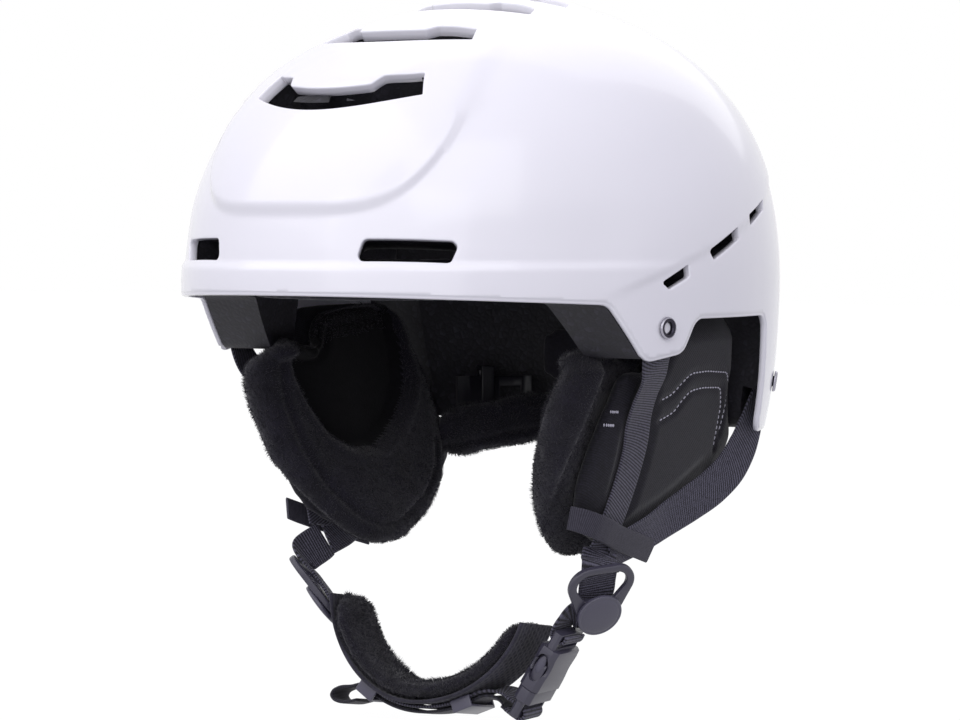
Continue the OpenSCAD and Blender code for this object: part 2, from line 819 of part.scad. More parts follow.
// The strap from the right ring, under the pad, to the loop at the plug
strap_near = 31;
module chin_strap() {
  h = right_hang;
  color("#24222e")
    strap(concat(
      [for (v = [0, -6, disc_drop - 4, -20])
        [in_ring(h, 0, v, v > disc_drop ? ring_free : ring_back), ring_n(h)]],
      chin_stations(-64, strap_near, 18, 0),
      [for (n = [3, seat]) [in_buckle(plug_bar - wrap_x, -cut_n - n), buckle_x]]
    ), web_w, web_t);
}

// The free end comes back under the strap and ends in a folded pull loop
tail_off = web_t + 0.6;
loop_r = 3.2;
module chin_tail() {
  far = -35;
  tip = chin(far, tail_off);
  back = unit(0.1 * chin_down - chin_across);
  down = unit(chin_down + 0.1 * chin_across);
  color("#24222e")
    strap(concat(
      [for (n = [seat, 3]) [in_buckle(plug_bar + wrap_x, -cut_n - n), buckle_x]],
      [for (i = [14:-1:0])
        let (a = far + (strap_near - far) * i / 14)
        [chin(a, tail_off), chin_out(a)]],
      [[tip + back * 6 + down * 0.4, down]],
      [for (a = [30:30:180])
        [tip + back * (9 + 6.5 * sin(a)) + down * (0.4 + loop_r - loop_r * cos(a)), down * cos(a) - back * sin(a)]],
      [[tip + back * 3.5 + down * 1.9 * loop_r, -down]]
    ), web_w - 2, web_t);
}

// Moulded bridge over the webbing and its free end, open towards the pad
module chin_keeper(a) {
  low = -web_t / 2;
  top = tail_off + web_t / 2 + 0.6;
  place(chin(a, 0), unit(cross(chin_side, chin_out(a))), chin_out(a))
    difference() {
      translate([-4.5, -web_w / 2 - 2, low])
        cube([9, web_w + 4, top + 1.2 - low]);
      translate([-6, -web_w / 2 - 0.6, low - 1])
        cube([12, web_w + 1.2, top - low + 1]);
    }
}
module chin_keepers() {
  color("#4a4856")
    for (a = [-30, 24])
      chin_keeper(a);
}

// ---- side-release buckle on the left ----

// Middle of the socket, and the directions of the plug, of the outer face and across the webbing
buckle_o = [48.5, -24.6, -145.1];
buckle_x = unit([-0.515, -0.05, -0.855]);
buckle_n = unit(cross([0.1, -1, 0], buckle_x));
function in_buckle(x, n) = buckle_o + buckle_x * x + buckle_n * n;
plug_t = buckle_t - 2 * socket_wall - 0.8;
prong_w = 4;
// Frames that the webbing passes through: length, thickness, end bar and slot
frame_l = 7.2;
frame_t = 4;
bar_l = 2.6;
slot_l = 3.8;
grip_l = 6;
// Middle of the plug's end bar, and of the socket's
plug_bar = socket_l / 2 + seat + grip_l + frame_l - bar_l / 2;
socket_bar = -socket_l / 2 - frame_l + bar_l / 2;
// Webbing runs round a bar at this radius from its corners, and at this distance from its middle
wrap_r = web_t / 2 + 0.45;
wrap_x = bar_l / 2 + wrap_r;
// Level inside the plug where the webbing that moves with it ends
cut_n = frame_t / 2 + 3.2;

module at_buckle() {
  place(buckle_o, buckle_x, buckle_n)
    children();
}

// Flat-sided body with softened long edges
module slab(l, w, t, c) {
  rotate([90, 0, 90])
    linear_extrude(l, center = true)
      polygon([
        [-w / 2 + c, -t / 2], [w / 2 - c, -t / 2], [w / 2, -t / 2 + c], [w / 2, t / 2 - c],
        [w / 2 - c, t / 2], [-w / 2 + c, t / 2], [-w / 2, t / 2 - c], [-w / 2, -t / 2 + c]
      ]);
}

module buckle_socket() {
  l = socket_l;
  color("#2e2c38")
    at_buckle()
      difference() {
        union() {
          slab(l, buckle_w, buckle_t, 2);
          // frame of the webbing bar
          translate([-l / 2 - frame_l / 2, 0, 0])
            slab(frame_l + 0.2, buckle_w - 1, frame_t, 1);
        }
        // the way in for the plug
        translate([4, 0, 0])
          cube([l, buckle_w - 2 * socket_wall, buckle_t - 2 * socket_wall], center = true);
        // oval windows that the prongs' heads show through
        translate([-1, 0, 0])
          rotate([90, 0, 0])
            cylinder(r = (buckle_t - 2 * socket_wall) / 2 + 0.3, h = buckle_w + 4, center = true, $fn = 32);
        // slot that leaves the webbing bar at the end
        translate([socket_bar + (bar_l + slot_l) / 2, 0, 0])
          cube([slot_l, web_w + 1, 12], center = true);
      }
}

// Plug with a grip, a webbing frame, a guide tongue and two springy prongs
module buckle_plug() {
  mouth = socket_l / 2;
  arm_y = buckle_w / 2 - socket_wall - 0.5 - prong_w / 2;
  color("#34323e")
    at_buckle()
      difference() {
        union() {
          translate([mouth + seat + grip_l / 2, 0, 0])
            slab(grip_l, buckle_w, buckle_t - 1, 2);
          translate([mouth + seat + grip_l + frame_l / 2, 0, 0])
            slab(frame_l + 0.2, buckle_w - 1, frame_t, 1);
          translate([mouth - 4, 0, 0])
            cube([10, 3, plug_t], center = true);
          for (s = [-1, 1]) {
            translate([mouth - 4.5, s * arm_y, 0])
              cube([11, prong_w, plug_t], center = true);
            translate([mouth - 10, s * arm_y, 0])
              cylinder(r = prong_w / 2, h = plug_t, center = true, $fn = 32);
          }
        }
        translate([plug_bar - (bar_l + slot_l) / 2, 0, 0])
          cube([slot_l, web_w + 1, 12], center = true);
      }
}

// Webbing over the outer side of a bar at distance x, from its end side to its slot side.
// side is 1 where the slot lies towards the plug, -1 where it lies towards the socket
function over_bar(x, side) =
  [for (a = [-90:45:90], k = (a == 0 ? [-1, 1] : [sign(a)]))
    [in_buckle(x + side * (k * bar_l / 2 + wrap_r * sin(a)), frame_t / 2 * cos(a) + wrap_r * cos(a)),
     buckle_n * cos(a) + buckle_x * side * sin(a)]];

// The webbing that wraps the plug's end bar; both strands run in towards the pad
module plug_webbing() {
  color("#24222e")
    strap(concat(
      [[in_buckle(plug_bar + wrap_x, -cut_n), buckle_x]],
      over_bar(plug_bar, -1),
      [[in_buckle(plug_bar - wrap_x, -cut_n), -buckle_x]]
    ), web_w - 1, web_t);
}

// ---- webbing between the ear pads, the rings and the buckle ----

// Comes out under the keeper and goes down behind the ring's upper bar
ring_back = -ring_t / 2 - web_t / 2 - seat;
ring_free = ring_back - 0.8;
function lower_lead(h, side) =
  let (p = on_ear(-18.5, -101, web_off), q = ear_out(-18, -100))
  [[[side * p.x, p.y, p.z], [side * q.x, q.y, q.z]],
   [in_ring(h, 0, ring_corner + 3, ring_back), ring_n(h)],
   [in_ring(h, 0, 3, ring_free), ring_n(h)]];

// Through the left ring, behind its disc and round the socket's bar from the inner side
module left_lower_strap() {
  h = left_hang;
  under = -frame_t / 2 - wrap_r;
  color("#24222e")
    strap(concat(lower_lead(h, 1), [
      [in_ring(h, 0, -3, ring_free), ring_n(h)],
      [in_ring(h, -3, -11, ring_free - 0.5), ring_n(h)],
      [in_buckle(socket_bar - 5, under - 0.3), buckle_n],
      [in_buckle(socket_bar + bar_l / 2, under), buckle_n],
      [in_buckle(socket_bar + bar_l / 2 + wrap_r * 0.7, -frame_t / 2 - wrap_r * 0.7), unit(buckle_n - buckle_x)],
      [in_buckle(socket_bar + wrap_x, 0), -buckle_x],
      [in_buckle(socket_bar + bar_l / 2 + wrap_r * 0.7, frame_t / 2 + wrap_r * 0.7), unit(-buckle_n - buckle_x)],
      [in_buckle(socket_bar + bar_l / 2, -under), -buckle_n],
      [in_buckle(socket_bar - 1, -under), -buckle_n]
    ]), web_w, web_t);
}

module right_lower_strap() {
  h = right_hang;
  color("#24222e")
    strap(concat(lower_lead(h, -1), [
      [in_ring(h, 0, 1, ring_free), ring_n(h)]
    ]), web_w, web_t);
}

// ---- goggle keeper at the back ----

keeper_hinge = skin_z(180, keeper_top_z);
keeper_foot = skin_z(180, keeper_snap_z);
keeper_l = norm(keeper_foot - keeper_hinge);
keeper_tilt = atan2(keeper_foot.y - keeper_hinge.y, keeper_hinge.z - keeper_foot.z);

// Frame whose X runs down the back of the shell and whose Y points outward
module at_keeper() {
  translate(keeper_hinge)
    rotate([0, 0, 90])
      rotate([90, 0, 0])
        rotate([0, 0, keeper_tilt - 90])
          mirror([0, 0, 1])
            children();
}

// Stand-off of the band's inner face at x along its length, flat at both ends
keeper_flat = 8;
function bow(x) =
  seat + 2 + keeper_bow * pow(sin(180 * min(1, max(0, (x - keeper_flat) / (keeper_l - 2 * keeper_flat)))), 2);

module goggle_keeper() {
  n = 16;
  l = keeper_l + 6;
  color("#1e1c26")
    at_keeper()
      linear_extrude(keeper_w, center = true)
        polygon(concat(
          [for (i = [0:n]) [i * l / n, bow(i * l / n) + keeper_t]],
          [for (i = [n:-1:0]) [i * l / n, bow(i * l / n)]],
          // round upper end that turns in the base
          [for (a = [255:-15:105]) [0, bow(0) + keeper_t / 2] + keeper_t / 2 * [cos(a), sin(a)]]
        ));
}

// Moulded foot that is riveted to the shell and holds the keeper's upper end
module keeper_base() {
  color("#1e1c26")
    at_keeper()
      translate([-6 - keeper_t / 2 - seat, 0, 0])
        linear_extrude(keeper_w + 2, center = true)
          polygon([[-6, seat + 0.3], [6, seat + 0.3], [6, 2 + keeper_t], [5, 3 + keeper_t], [-3, 3 + keeper_t], [-6, 2]]);
}

// Stud on the shell for the snap
module snap_stud() {
  color("silver")
    at_keeper()
      translate([keeper_l, 0, 0])
        rotate([-90, 0, 0])
          rotate_extrude($fn = 32)
            polygon([[0, seat + 0.1], [4.5, seat + 0.1], [4.5, 1.1], [1.8, 1.4], [1.8, 2], [0, 2]]);
}

// Cap of the snap on the keeper's outer face
module keeper_snap() {
  color("#55535f")
    at_keeper()
      translate([keeper_l, bow(keeper_l) + keeper_t + 0.05, 0])
        rotate([-90, 0, 0])
          rotate_extrude($fn = 32)
            polygon([[0, 0], [6, 0], [6, 0.8], [5, 1.6], [0, 1.9]]);
}

outer_shell();
impact_liner();
brow_pad();
crown_pad();
side_pads();
strap_rivets();
rivet_washers();
left_ear_cover();
right_ear_cover();
left_ear_fleece();
right_ear_fleece();
neck_roll();
fit_housing();
arm_guides();
cradle_pad();
left_front_strap();
right_front_strap();
left_rear_strap();
right_rear_strap();
left_strap_keeper();
right_strap_keeper();
left_ring();
right_ring();
left_ring_disc();
right_ring_disc();
left_lower_strap();
right_lower_strap();
buckle_socket();
chin_pad();
chin_pad_base();
chin_strap();
chin_tail();
chin_keepers();
keeper_base();
snap_stud();
fit_dial();
dial_pinion();
left_arm();
right_arm();
buckle_plug();
plug_webbing();
goggle_keeper();
keeper_snap();
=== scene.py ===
import math

import bmesh
import bpy
import numpy as np
from mathutils import Matrix, Vector
from mathutils.bvhtree import BVHTree


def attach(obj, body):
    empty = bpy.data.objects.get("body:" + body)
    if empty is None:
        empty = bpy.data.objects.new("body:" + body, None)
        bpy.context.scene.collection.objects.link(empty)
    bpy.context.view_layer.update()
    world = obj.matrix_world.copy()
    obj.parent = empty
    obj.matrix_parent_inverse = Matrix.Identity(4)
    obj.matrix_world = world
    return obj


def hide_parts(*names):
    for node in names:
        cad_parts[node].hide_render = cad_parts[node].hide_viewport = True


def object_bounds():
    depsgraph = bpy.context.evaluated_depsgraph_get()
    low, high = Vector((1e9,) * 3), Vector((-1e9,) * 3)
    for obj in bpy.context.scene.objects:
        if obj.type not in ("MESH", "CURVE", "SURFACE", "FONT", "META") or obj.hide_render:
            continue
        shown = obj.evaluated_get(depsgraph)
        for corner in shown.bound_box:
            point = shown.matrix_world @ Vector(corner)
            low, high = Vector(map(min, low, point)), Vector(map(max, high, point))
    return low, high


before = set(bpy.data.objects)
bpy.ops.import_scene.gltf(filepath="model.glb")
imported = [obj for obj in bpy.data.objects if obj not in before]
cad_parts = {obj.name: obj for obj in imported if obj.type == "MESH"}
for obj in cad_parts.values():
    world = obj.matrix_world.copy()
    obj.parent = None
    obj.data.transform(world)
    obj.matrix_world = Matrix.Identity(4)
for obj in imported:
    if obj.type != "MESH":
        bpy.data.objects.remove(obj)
cad_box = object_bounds()

# ---- camera ----
# A long lens a metre and a half away, just above the brim and 35 degrees to the wearer's left of
# the front. It looks level enough that upright edges stay upright.

camera_data = bpy.data.cameras.new("camera")
camera_data.lens = 136.7
camera_data.sensor_width = 36
camera = bpy.data.objects.new("camera", camera_data)
bpy.context.scene.collection.objects.link(camera)
camera_az = math.radians(35)
camera_el = math.radians(2.3)
camera_back = Vector((math.sin(camera_az) * math.cos(camera_el),
                      -math.cos(camera_az) * math.cos(camera_el), math.sin(camera_el)))
camera.location = (0.85822, -1.22997, 0.03553)
camera.rotation_euler = camera_back.to_track_quat("Z", "Y").to_euler()
bpy.context.scene.camera = camera

# ---- studio ----
# A pale floor that keeps the soft shadow, a white surround, and four large soft lamps. The lamps
# stay low enough that the white shell keeps its shading.


def linear(hex_colour):
    """An sRGB hex colour as linear RGBA."""
    parts = [int(hex_colour[i:i + 2], 16) / 255 for i in (1, 3, 5)]
    return [p / 12.92 if p <= 0.04045 else ((p + 0.055) / 1.055) ** 2.4 for p in parts] + [1]


def add(tree, kind, inputs, **settings):
    """A shader node: inputs are values or the sockets that feed them."""
    node = tree.nodes.new("ShaderNode" + kind)
    for name, value in settings.items():
        setattr(node, name, value)
    for name, value in inputs.items():
        if isinstance(value, bpy.types.NodeSocket):
            tree.links.new(value, node.inputs[name])
        else:
            node.inputs[name].default_value = value
    return node


def new_tree(name):
    """An empty material, its node tree and its output node."""
    material = bpy.data.materials.new(name)
    material.use_nodes = True
    material.node_tree.nodes.clear()
    return material, material.node_tree, material.node_tree.nodes.new("ShaderNodeOutputMaterial")


def place_mesh(bm, name, *materials):
    """Makes an object at the origin from a bmesh that is already in place, in metres."""
    mesh = bpy.data.meshes.new(name)
    bm.to_mesh(mesh)
    bm.free()
    thing = bpy.data.objects.new(name, mesh)
    bpy.context.scene.collection.objects.link(thing)
    for material in materials:
        mesh.materials.append(material)
    mesh.shade_smooth()
    return thing


def looked_at(tree):
    """1 for rays that come from the camera, a reflection or through glass, and 0 for all others."""
    ray = add(tree, "LightPath", {})
    seen = ray.outputs["Is Camera Ray"]
    for kind in ("Is Glossy Ray", "Is Transmission Ray"):
        seen = add(tree, "Math", {0: seen, 1: ray.outputs[kind]}, operation="MAXIMUM").outputs[0]
    return seen


# painted studio board: it reads as white to the eye, and throws only a little light on the helmet
board, tree, output = new_tree("painted_studio_board")
grain = add(tree, "TexNoise", {"Vector": add(tree, "TexCoord", {}).outputs["Object"], "Scale": 8.0})
tone = add(tree, "MixRGB", {0: grain.outputs[0], 1: linear("#3c3c3f"), 2: linear("#3f3f42")})
matt = add(tree, "BsdfDiffuse", {"Color": tone.outputs[0]})
glow = add(tree, "Emission", {"Color": (1, 1, 1, 1), "Strength": 0.985})
bounce = add(tree, "Emission", {"Color": (0.9, 0.89, 1, 1), "Strength": 0.3})
glow = add(tree, "MixShader", {0: looked_at(tree), 1: bounce.outputs[0], 2: glow.outputs[0]})
both = add(tree, "AddShader", {0: matt.outputs[0], 1: glow.outputs[0]})
tree.links.new(both.outputs[0], output.inputs["Surface"])

floor_half, floor_gap = 6, 0.002
floor_mesh = bmesh.new()
bmesh.ops.create_grid(floor_mesh, x_segments=8, y_segments=8, size=floor_half)
floor_z = cad_box[0][2] - floor_gap
bmesh.ops.translate(floor_mesh, verts=floor_mesh.verts, vec=(0, 0, floor_z))
floor = place_mesh(floor_mesh, "floor", board)

world = bpy.data.worlds.new("studio")
world.use_nodes = True
bpy.context.scene.world = world
tree = world.node_tree
tree.nodes.clear()
room = add(tree, "Background", {"Color": (0.89, 0.87, 1, 1), "Strength": 0.6})
white = add(tree, "Background", {"Color": (1, 1, 1, 1), "Strength": 1.0})
mixed = add(tree, "MixShader", {0: looked_at(tree), 1: room.outputs[0], 2: white.outputs[0]})
output = tree.nodes.new("ShaderNodeOutputWorld")
tree.links.new(mixed.outputs[0], output.inputs["Surface"])

# each lamp: place, what it looks at, its size in metres and its power in watts
for name, place, target, size, power in (
        ("key", (-0.9, -1.3, 1.7), (0, 0, 0.03), 2.6, 21),
        ("front", (0.75, -1.9, 0.35), (0, 0, -0.03), 2.4, 16),
        ("side", (1.5, -1.2, 1.6), (0, 0, 0.03), 1.8, 11),
        ("back", (-0.5, 1.5, 1.4), (0, 0, 0), 2.0, 7)):
    lamp_data = bpy.data.lights.new(name, "AREA")
    lamp_data.size = size
    lamp_data.energy = power
    lamp = bpy.data.objects.new(name, lamp_data)
    lamp.location = place
    lamp.rotation_euler = (Vector(place) - Vector(target)).to_track_quat("Z", "Y").to_euler()
    bpy.context.scene.collection.objects.link(lamp)
bpy.context.scene.view_settings.view_transform = "Standard"

# ---- outer shell ----
# A thin moulded ABS shell with a clear lacquer: sunk band above the brow, raised crown panel,
# a ledge along the side slots, crescent crown slots with turned-in lips, and a stepped lower edge.

MM = 0.001
shell_w, shell_l, crown_h, skirt_h = 224.0, 282.0, 124.5, 165.0
crown_back = 24.0
shell_t = 2.4
# relief in mm, and where it lies in degrees above the brim and to each side of the brow
band_sink, brow_dish, panel_rise, crown_swell = 1.3, 0.6, 1.5, 5.4
band_low, band_high, panel_low, panel_half = 6.4, 11, 15.6, 32.2
brim_z, brim_side_z, tab_z, notch_z, tail_z = 4.4, 0.5, -21.5, -5.6, -54.0
dial_d, dial_z = 30.0, -44.0


def ease(t):
    """A soft step from 0 to 1."""
    t = np.clip(t, 0, 1)
    return t * t * (3 - 2 * t)


def unit(v):
    v = np.asarray(v, float)
    return v / np.linalg.norm(v, axis=-1, keepdims=True)


def panel(az, el):
    """1 on the raised crown panel, whose lower edge is a wide U, and 0 off it."""
    return ease((el - panel_low - 11.2 * (np.abs(az) / panel_half) ** 4.8) / 2.6)


def relief(az, el):
    """How far the shell stands off the plain egg shape, angles in degrees."""
    brow = 1 - ease((np.abs(az) - 58) / 30)
    ledge_el = 5 + (np.abs(az) - 76) * 0.35
    ledge = (ease((np.abs(az) - 60) / 12) * (1 - ease((np.abs(az) - 128) / 20))
             * ease((el - ledge_el) / 2) * (1 - ease((el - ledge_el - 5) / 18)))
    top = panel(az, el)
    nape = ease((165 - np.abs(az)) / 20 + ease((el - 13) / 12))
    above = ease((el - band_high) / 9)
    return (-band_sink * brow * ease((el - band_low) / 1.8) * (1 - above) * (1 - top)
            - brow_dish * brow * above * (1 - ease((el - 34) / 14)) * (1 - top)
            + panel_rise * top * (1 - ease((el - 40) / 25)) + ledge
            + crown_swell * ease((el + 6) / 44) * (1 - ease((el - 38) / 38)) * nape)


def egg(az, el, off):
    """Points in mm of the egg shape at azimuth az, 0 at the brow, and elevation el, off mm out."""
    az, el = np.radians(az), np.radians(el)
    r = np.cos(el)
    rise = np.where(el > 0, crown_h + off, skirt_h)
    return np.stack([(shell_w / 2 + off) * np.sin(az) * r,
                     -(shell_l / 2 + off) * np.cos(az) * r + crown_back * (1 - r),
                     rise * np.sin(el)], -1)


def outward(p):
    """Outward direction of the egg shape at points in mm."""
    p = np.asarray(p, float)
    up = np.where(p[..., 2] > 0, crown_h, skirt_h)
    return unit(np.stack([p[..., 0] / (shell_w / 2) ** 2, p[..., 1] / (shell_l / 2) ** 2,
                          p[..., 2] / up ** 2], -1))


def skin_el(z):
    """Elevation in degrees at which the egg shape has height z."""
    return math.degrees(math.asin(z / (crown_h if z > 0 else skirt_h)))


def skin_z(az, z):
    """Point of the shell's outer face at azimuth az and height z."""
    el = skin_el(z)
    return egg(az, el, relief(az, el))


def angles(directions):
    """Azimuth and elevation in degrees of unit directions."""
    az = np.degrees(np.arctan2(directions[:, 0], -directions[:, 1]))
    return az, np.degrees(np.arcsin(np.clip(directions[:, 2], -1, 1)))


def crown_place(p):
    """Sideways distance and brow-to-back angle in degrees of points on the upper half."""
    x = p[:, 0]
    k = np.sqrt(np.clip(1 - (x / (shell_w / 2)) ** 2, 1e-6, 1))
    r = np.sqrt(np.clip(1 - (p[:, 2] / crown_h) ** 2, 0, 1))
    front = -(p[:, 1] - crown_back * (1 - r)) / (shell_l / 2 * k)
    return x, np.degrees(np.arctan2(p[:, 2] / (crown_h * k), front))


def rounded(corners, radius):
    """A closed outline whose corners are turned into arcs."""
    points = []
    n = len(corners)
    for i in range(n):
        a, b, c = (np.array(corners[j % n], float) for j in (i - 1, i, i + 1))
        u, v = unit(a - b), unit(c - b)
        half = math.acos(float(np.clip(u @ v, -1, 1))) / 2
        reach = radius / math.tan(half)
        middle = b + unit(u + v) * radius / math.sin(half)
        start, stop = b + u * reach - middle, b + v * reach - middle
        turn = math.atan2(start[0] * stop[1] - start[1] * stop[0], float(start @ stop))
        for k in range(7):
            s, c = math.sin(turn * k / 6), math.cos(turn * k / 6)
            points.append(middle + np.array([start[0] * c - start[1] * s,
                                             start[0] * s + start[1] * c]))
    return np.array(points)


def segment_distance(a, b, u, v):
    """Distance of points to the straight stretch from a to b."""
    d = b - a
    t = np.clip(((u - a[0]) * d[0] + (v - a[1]) * d[1]) / max(float(d @ d), 1e-12), 0, 1)
    return np.hypot(u - a[0] - t * d[0], v - a[1] - t * d[1])


def distance_to(outline, u, v):
    """Signed distance of points to a closed outline: negative inside it."""
    near = np.full(u.shape, 1e9)
    inside = np.zeros(u.shape, bool)
    for a, b in zip(outline, np.roll(outline, -1, 0)):
        near = np.minimum(near, segment_distance(a, b, u, v))
        d = b - a
        if a[1] != b[1]:
            inside ^= ((a[1] > v) != (b[1] > v)) & (u < d[0] * (v - a[1]) / d[1] + a[0])
    return np.where(inside, -near, near)


def edge_outline(notch, lift, back=0):
    """What lies below the lower edge, as (y, z): brim, temple tab, ear notch and tail."""
    far = shell_l
    brim = [(-far, -far), (-far, brim_z + lift), (-shell_l / 2, brim_z + lift - 0.01)]
    tab = [(-62.5, brim_side_z + lift), (-43.5, tab_z - 0.7 + lift), (-22.5, tab_z + 2.5 + lift)]
    ear = [(-15 - lift, notch), (46.4 + lift + back, notch), (53.4 + lift + back, tail_z + lift)]
    return rounded(brim + tab + ear + [(far, tail_z + lift), (far, -far)], edge_corner)


edge_corner = 7
lower_edge = edge_outline(notch_z, 0)
arch_top = dial_z + dial_d / 2 + 4
dial_arch = rounded([(-12, arch_top), (12, arch_top), (29, tail_z - 20), (-29, tail_z - 20)], 8)

# crown slots: angle, half width, height and extra height of the ends for each row
crown_rows = ((35.3, 39.8, 9.8, 4.8), (53.2, 36.6, 9.0, 4.2),
              (71.0, 34.6, 8.6, 4.0), (84.2, 31.0, 8.0, 3.6))
lip_rise = 1.0
# mm of arc for a degree of the brow-to-back angle
arc = math.pi * shell_l / 360


def slot_low(x, phi):
    """Arc length at a crown slot's front edge, which bows back towards its ends."""
    return (phi + 4.2 * (x / 34) ** 2) * arc


def crown_slot(phi, half, height, notch):
    """Outline of a slot in (x, arc length): a crescent with taller ends and slanting end walls."""
    xs = np.linspace(-1, 1, 61)
    low = np.stack([half * xs, slot_low(half * xs, phi)], -1)
    xs = xs * (half - 4.8)
    taller = notch * ease((np.abs(xs) - half + 20.4) / 3)
    high = np.stack([xs, slot_low(xs, phi) + height + taller], -1)
    return np.concatenate([low, high[::-1]])


crown_slots = [crown_slot(*row) for row in crown_rows]


def skin_slot(corners, radius):
    """A slot given by (azimuth, height) corners: its outline in a flat frame, and that frame."""
    points = np.array([skin_z(az, z) for az, z in corners])
    middle = points.mean(0)
    out = outward(middle)
    along = unit(np.cross((0, 0, 1), out))
    across = np.cross(out, along)
    flat = np.stack([(points - middle) @ along, (points - middle) @ across], -1)
    return rounded(flat, radius), middle, along, across


side_slots = []
for s in (-1, 1):
    side_slots += [
        skin_slot([(s * 17.3, 17.6), (s * 35, 16.9), (s * 36.3, 23.4), (s * 35.2, 25.1),
                   (s * 18.5, 25.9)], 2.2),
        skin_slot([(s * 75, 8.9), (s * 76.7, 6.2), (s * 81.6, 11), (s * 81.3, 15.7)], 0.7),
        skin_slot([(s * 87, 21.1), (s * 88.3, 17.2), (s * 97, 25.3), (s * 96.1, 29.6)], 0.7),
        skin_slot([(s * 101, 33.9), (s * 102.3, 30.4), (s * 110.3, 36.4), (s * 109.7, 39.9)], 0.7)]


def slot_distance(p):
    """Signed distance of points to the nearest slot, negative inside it."""
    x, phi = crown_place(p)
    near = np.full(len(p), 1e9)
    upper = p[:, 2] > 30
    for outline in crown_slots:
        gap = distance_to(outline, x[upper], phi[upper] * arc) - 0.2
        near[upper] = np.minimum(near[upper], gap)
    for outline, middle, along, across in side_slots:
        close = np.linalg.norm(p - middle, axis=1) < 45
        q = p[close] - middle
        near[close] = np.minimum(near[close], distance_to(outline, q @ along, q @ across))
    return near


def lip(p):
    """Rise of the surface behind each crown slot."""
    x, phi = crown_place(p)
    rise = np.zeros(len(p))
    for row, half, height, notch in crown_rows:
        behind = phi * arc - slot_low(x, row) - height
        rise += (lip_rise * ease(1 + behind / 5) * (1 - ease((behind - 3) / 14))
                 * (1 - ease((np.abs(x) - 22) / 11)))
    return np.where(p[:, 2] > 30, rise, 0)


def surface_slope(p, field, here):
    """Growth along the surface of a field whose value at points is here, as a vector for each."""
    step = 0.1
    slope = np.stack([(field(p + move) - here) / step for move in np.eye(3) * step], -1)
    n = outward(p)
    return slope - n * (slope * n).sum(1, keepdims=True)


# how softly the arch runs into the edge, and a distance that stands for no arch in front
arch_round, no_arch = 8, 60


def edge_distance(p, outline, arch):
    """Distance along the surface to the lower edge, with the corners at the arch rounded."""
    def plain(q):
        side = distance_to(outline, q[:, 1], q[:, 2])
        back = np.where(q[:, 1] > 0, distance_to(arch, q[:, 0], q[:, 2]), no_arch)
        h = np.clip(0.5 + 0.5 * (back - side) / arch_round, 0, 1)
        return side * h + back * (1 - h) - arch_round * h * (1 - h)
    here = plain(p)
    return here / np.clip(np.linalg.norm(surface_slope(p, plain, here), axis=1), 0.45, 1)


def shell_point(directions, off=0.0, lips=1.0):
    """Points in mm of the shell's outer face in given directions, with the slots' lips or not."""
    az, el = angles(directions)
    p = egg(az, el, off + relief(az, el))
    if lips:
        p += outward(p) * (lips * lip(p))[:, None]
    return p


# the stepped band along the lower edge, and the radius of the slots' outer edges
rim_band, slot_round = 1.5, 0.6


def to_edge(p):
    return edge_distance(p, lower_edge, dial_arch)


def shell_field(directions):
    """Distance to where the trimmed skin ends: past the rim's band, or short of a slot's edge."""
    p = shell_point(directions, 0, 0)
    return np.minimum(to_edge(p) - rim_band, slot_distance(p) - slot_round)


def directions_of(bm):
    """Unit directions of a bmesh's points from the origin."""
    return unit(np.array([v.co[:] for v in bm.verts]))


def refine(bm, wanted):
    """Splits the edges of the faces whose middle is wanted, and keeps points on the unit sphere."""
    bm.faces.ensure_lookup_table()
    middles = unit(np.array([f.calc_center_median()[:] for f in bm.faces]))
    keep = wanted(middles)
    edges = {e for f, k in zip(bm.faces, keep) if k for e in f.edges}
    bmesh.ops.subdivide_edges(bm, edges=list(edges), cuts=1)
    bmesh.ops.triangulate(bm, faces=[f for f in bm.faces if len(f.verts) > 3])
    for v in bm.verts:
        v.co.normalize()


def trim(bm, field):
    """Cuts the sphere along the field's zero line and keeps the positive side."""
    value = dict(zip(bm.verts, field(directions_of(bm))))
    for edge in list(bm.edges):
        a, b = edge.verts
        if value[a] * value[b] < 0:
            t = value[a] / (value[a] - value[b])
            if t < 0.3:
                a.co = a.co.lerp(b.co, t)
                value[a] = 0.0
            elif t > 0.7:
                b.co = a.co.lerp(b.co, t)
                value[b] = 0.0
    line = [v for v in bm.verts if value[v] == 0]
    for edge in list(bm.edges):
        a, b = edge.verts
        if value[a] * value[b] < 0:
            _, v = bmesh.utils.edge_split(edge, a, value[a] / (value[a] - value[b]))
            value[v] = 0.0
            line.append(v)
    bmesh.ops.connect_verts(bm, verts=line)
    lost = [f for f in bm.faces
            if any(value[v] < 0 for v in f.verts) or all(value[v] == 0 for v in f.verts)]
    bmesh.ops.delete(bm, geom=lost, context="FACES")
    bmesh.ops.delete(bm, geom=[v for v in bm.verts if not v.link_faces], context="VERTS")
    for v in bm.verts:
        v.co.normalize()


def near_band(d):
    """Whether directions lie near the sunk band or the crown panel's edge."""
    az, el = angles(d)
    return (el > 3) & (el < 34) & (np.abs(az) < 84)


def near_ledge(d):
    """Whether directions lie near the ledge along the side slots."""
    az, el = angles(d)
    return (el > 0) & (el < 44) & (np.abs(az) > 58) & (np.abs(az) < 150)


skin = bmesh.new()
bmesh.ops.create_icosphere(skin, subdivisions=6, radius=1)
bmesh.ops.delete(skin, geom=[v for v in skin.verts if v.co.z < -0.5], context="VERTS")
coarse_reach, fine_reach = 9, 3.5
refine(skin, lambda d: near_band(d) | near_ledge(d) | (np.abs(shell_field(d)) < coarse_reach))
refine(skin, lambda d: (near_band(d) & (angles(d)[1] < 27)) | (np.abs(shell_field(d)) < fine_reach))
trim(skin, shell_field)

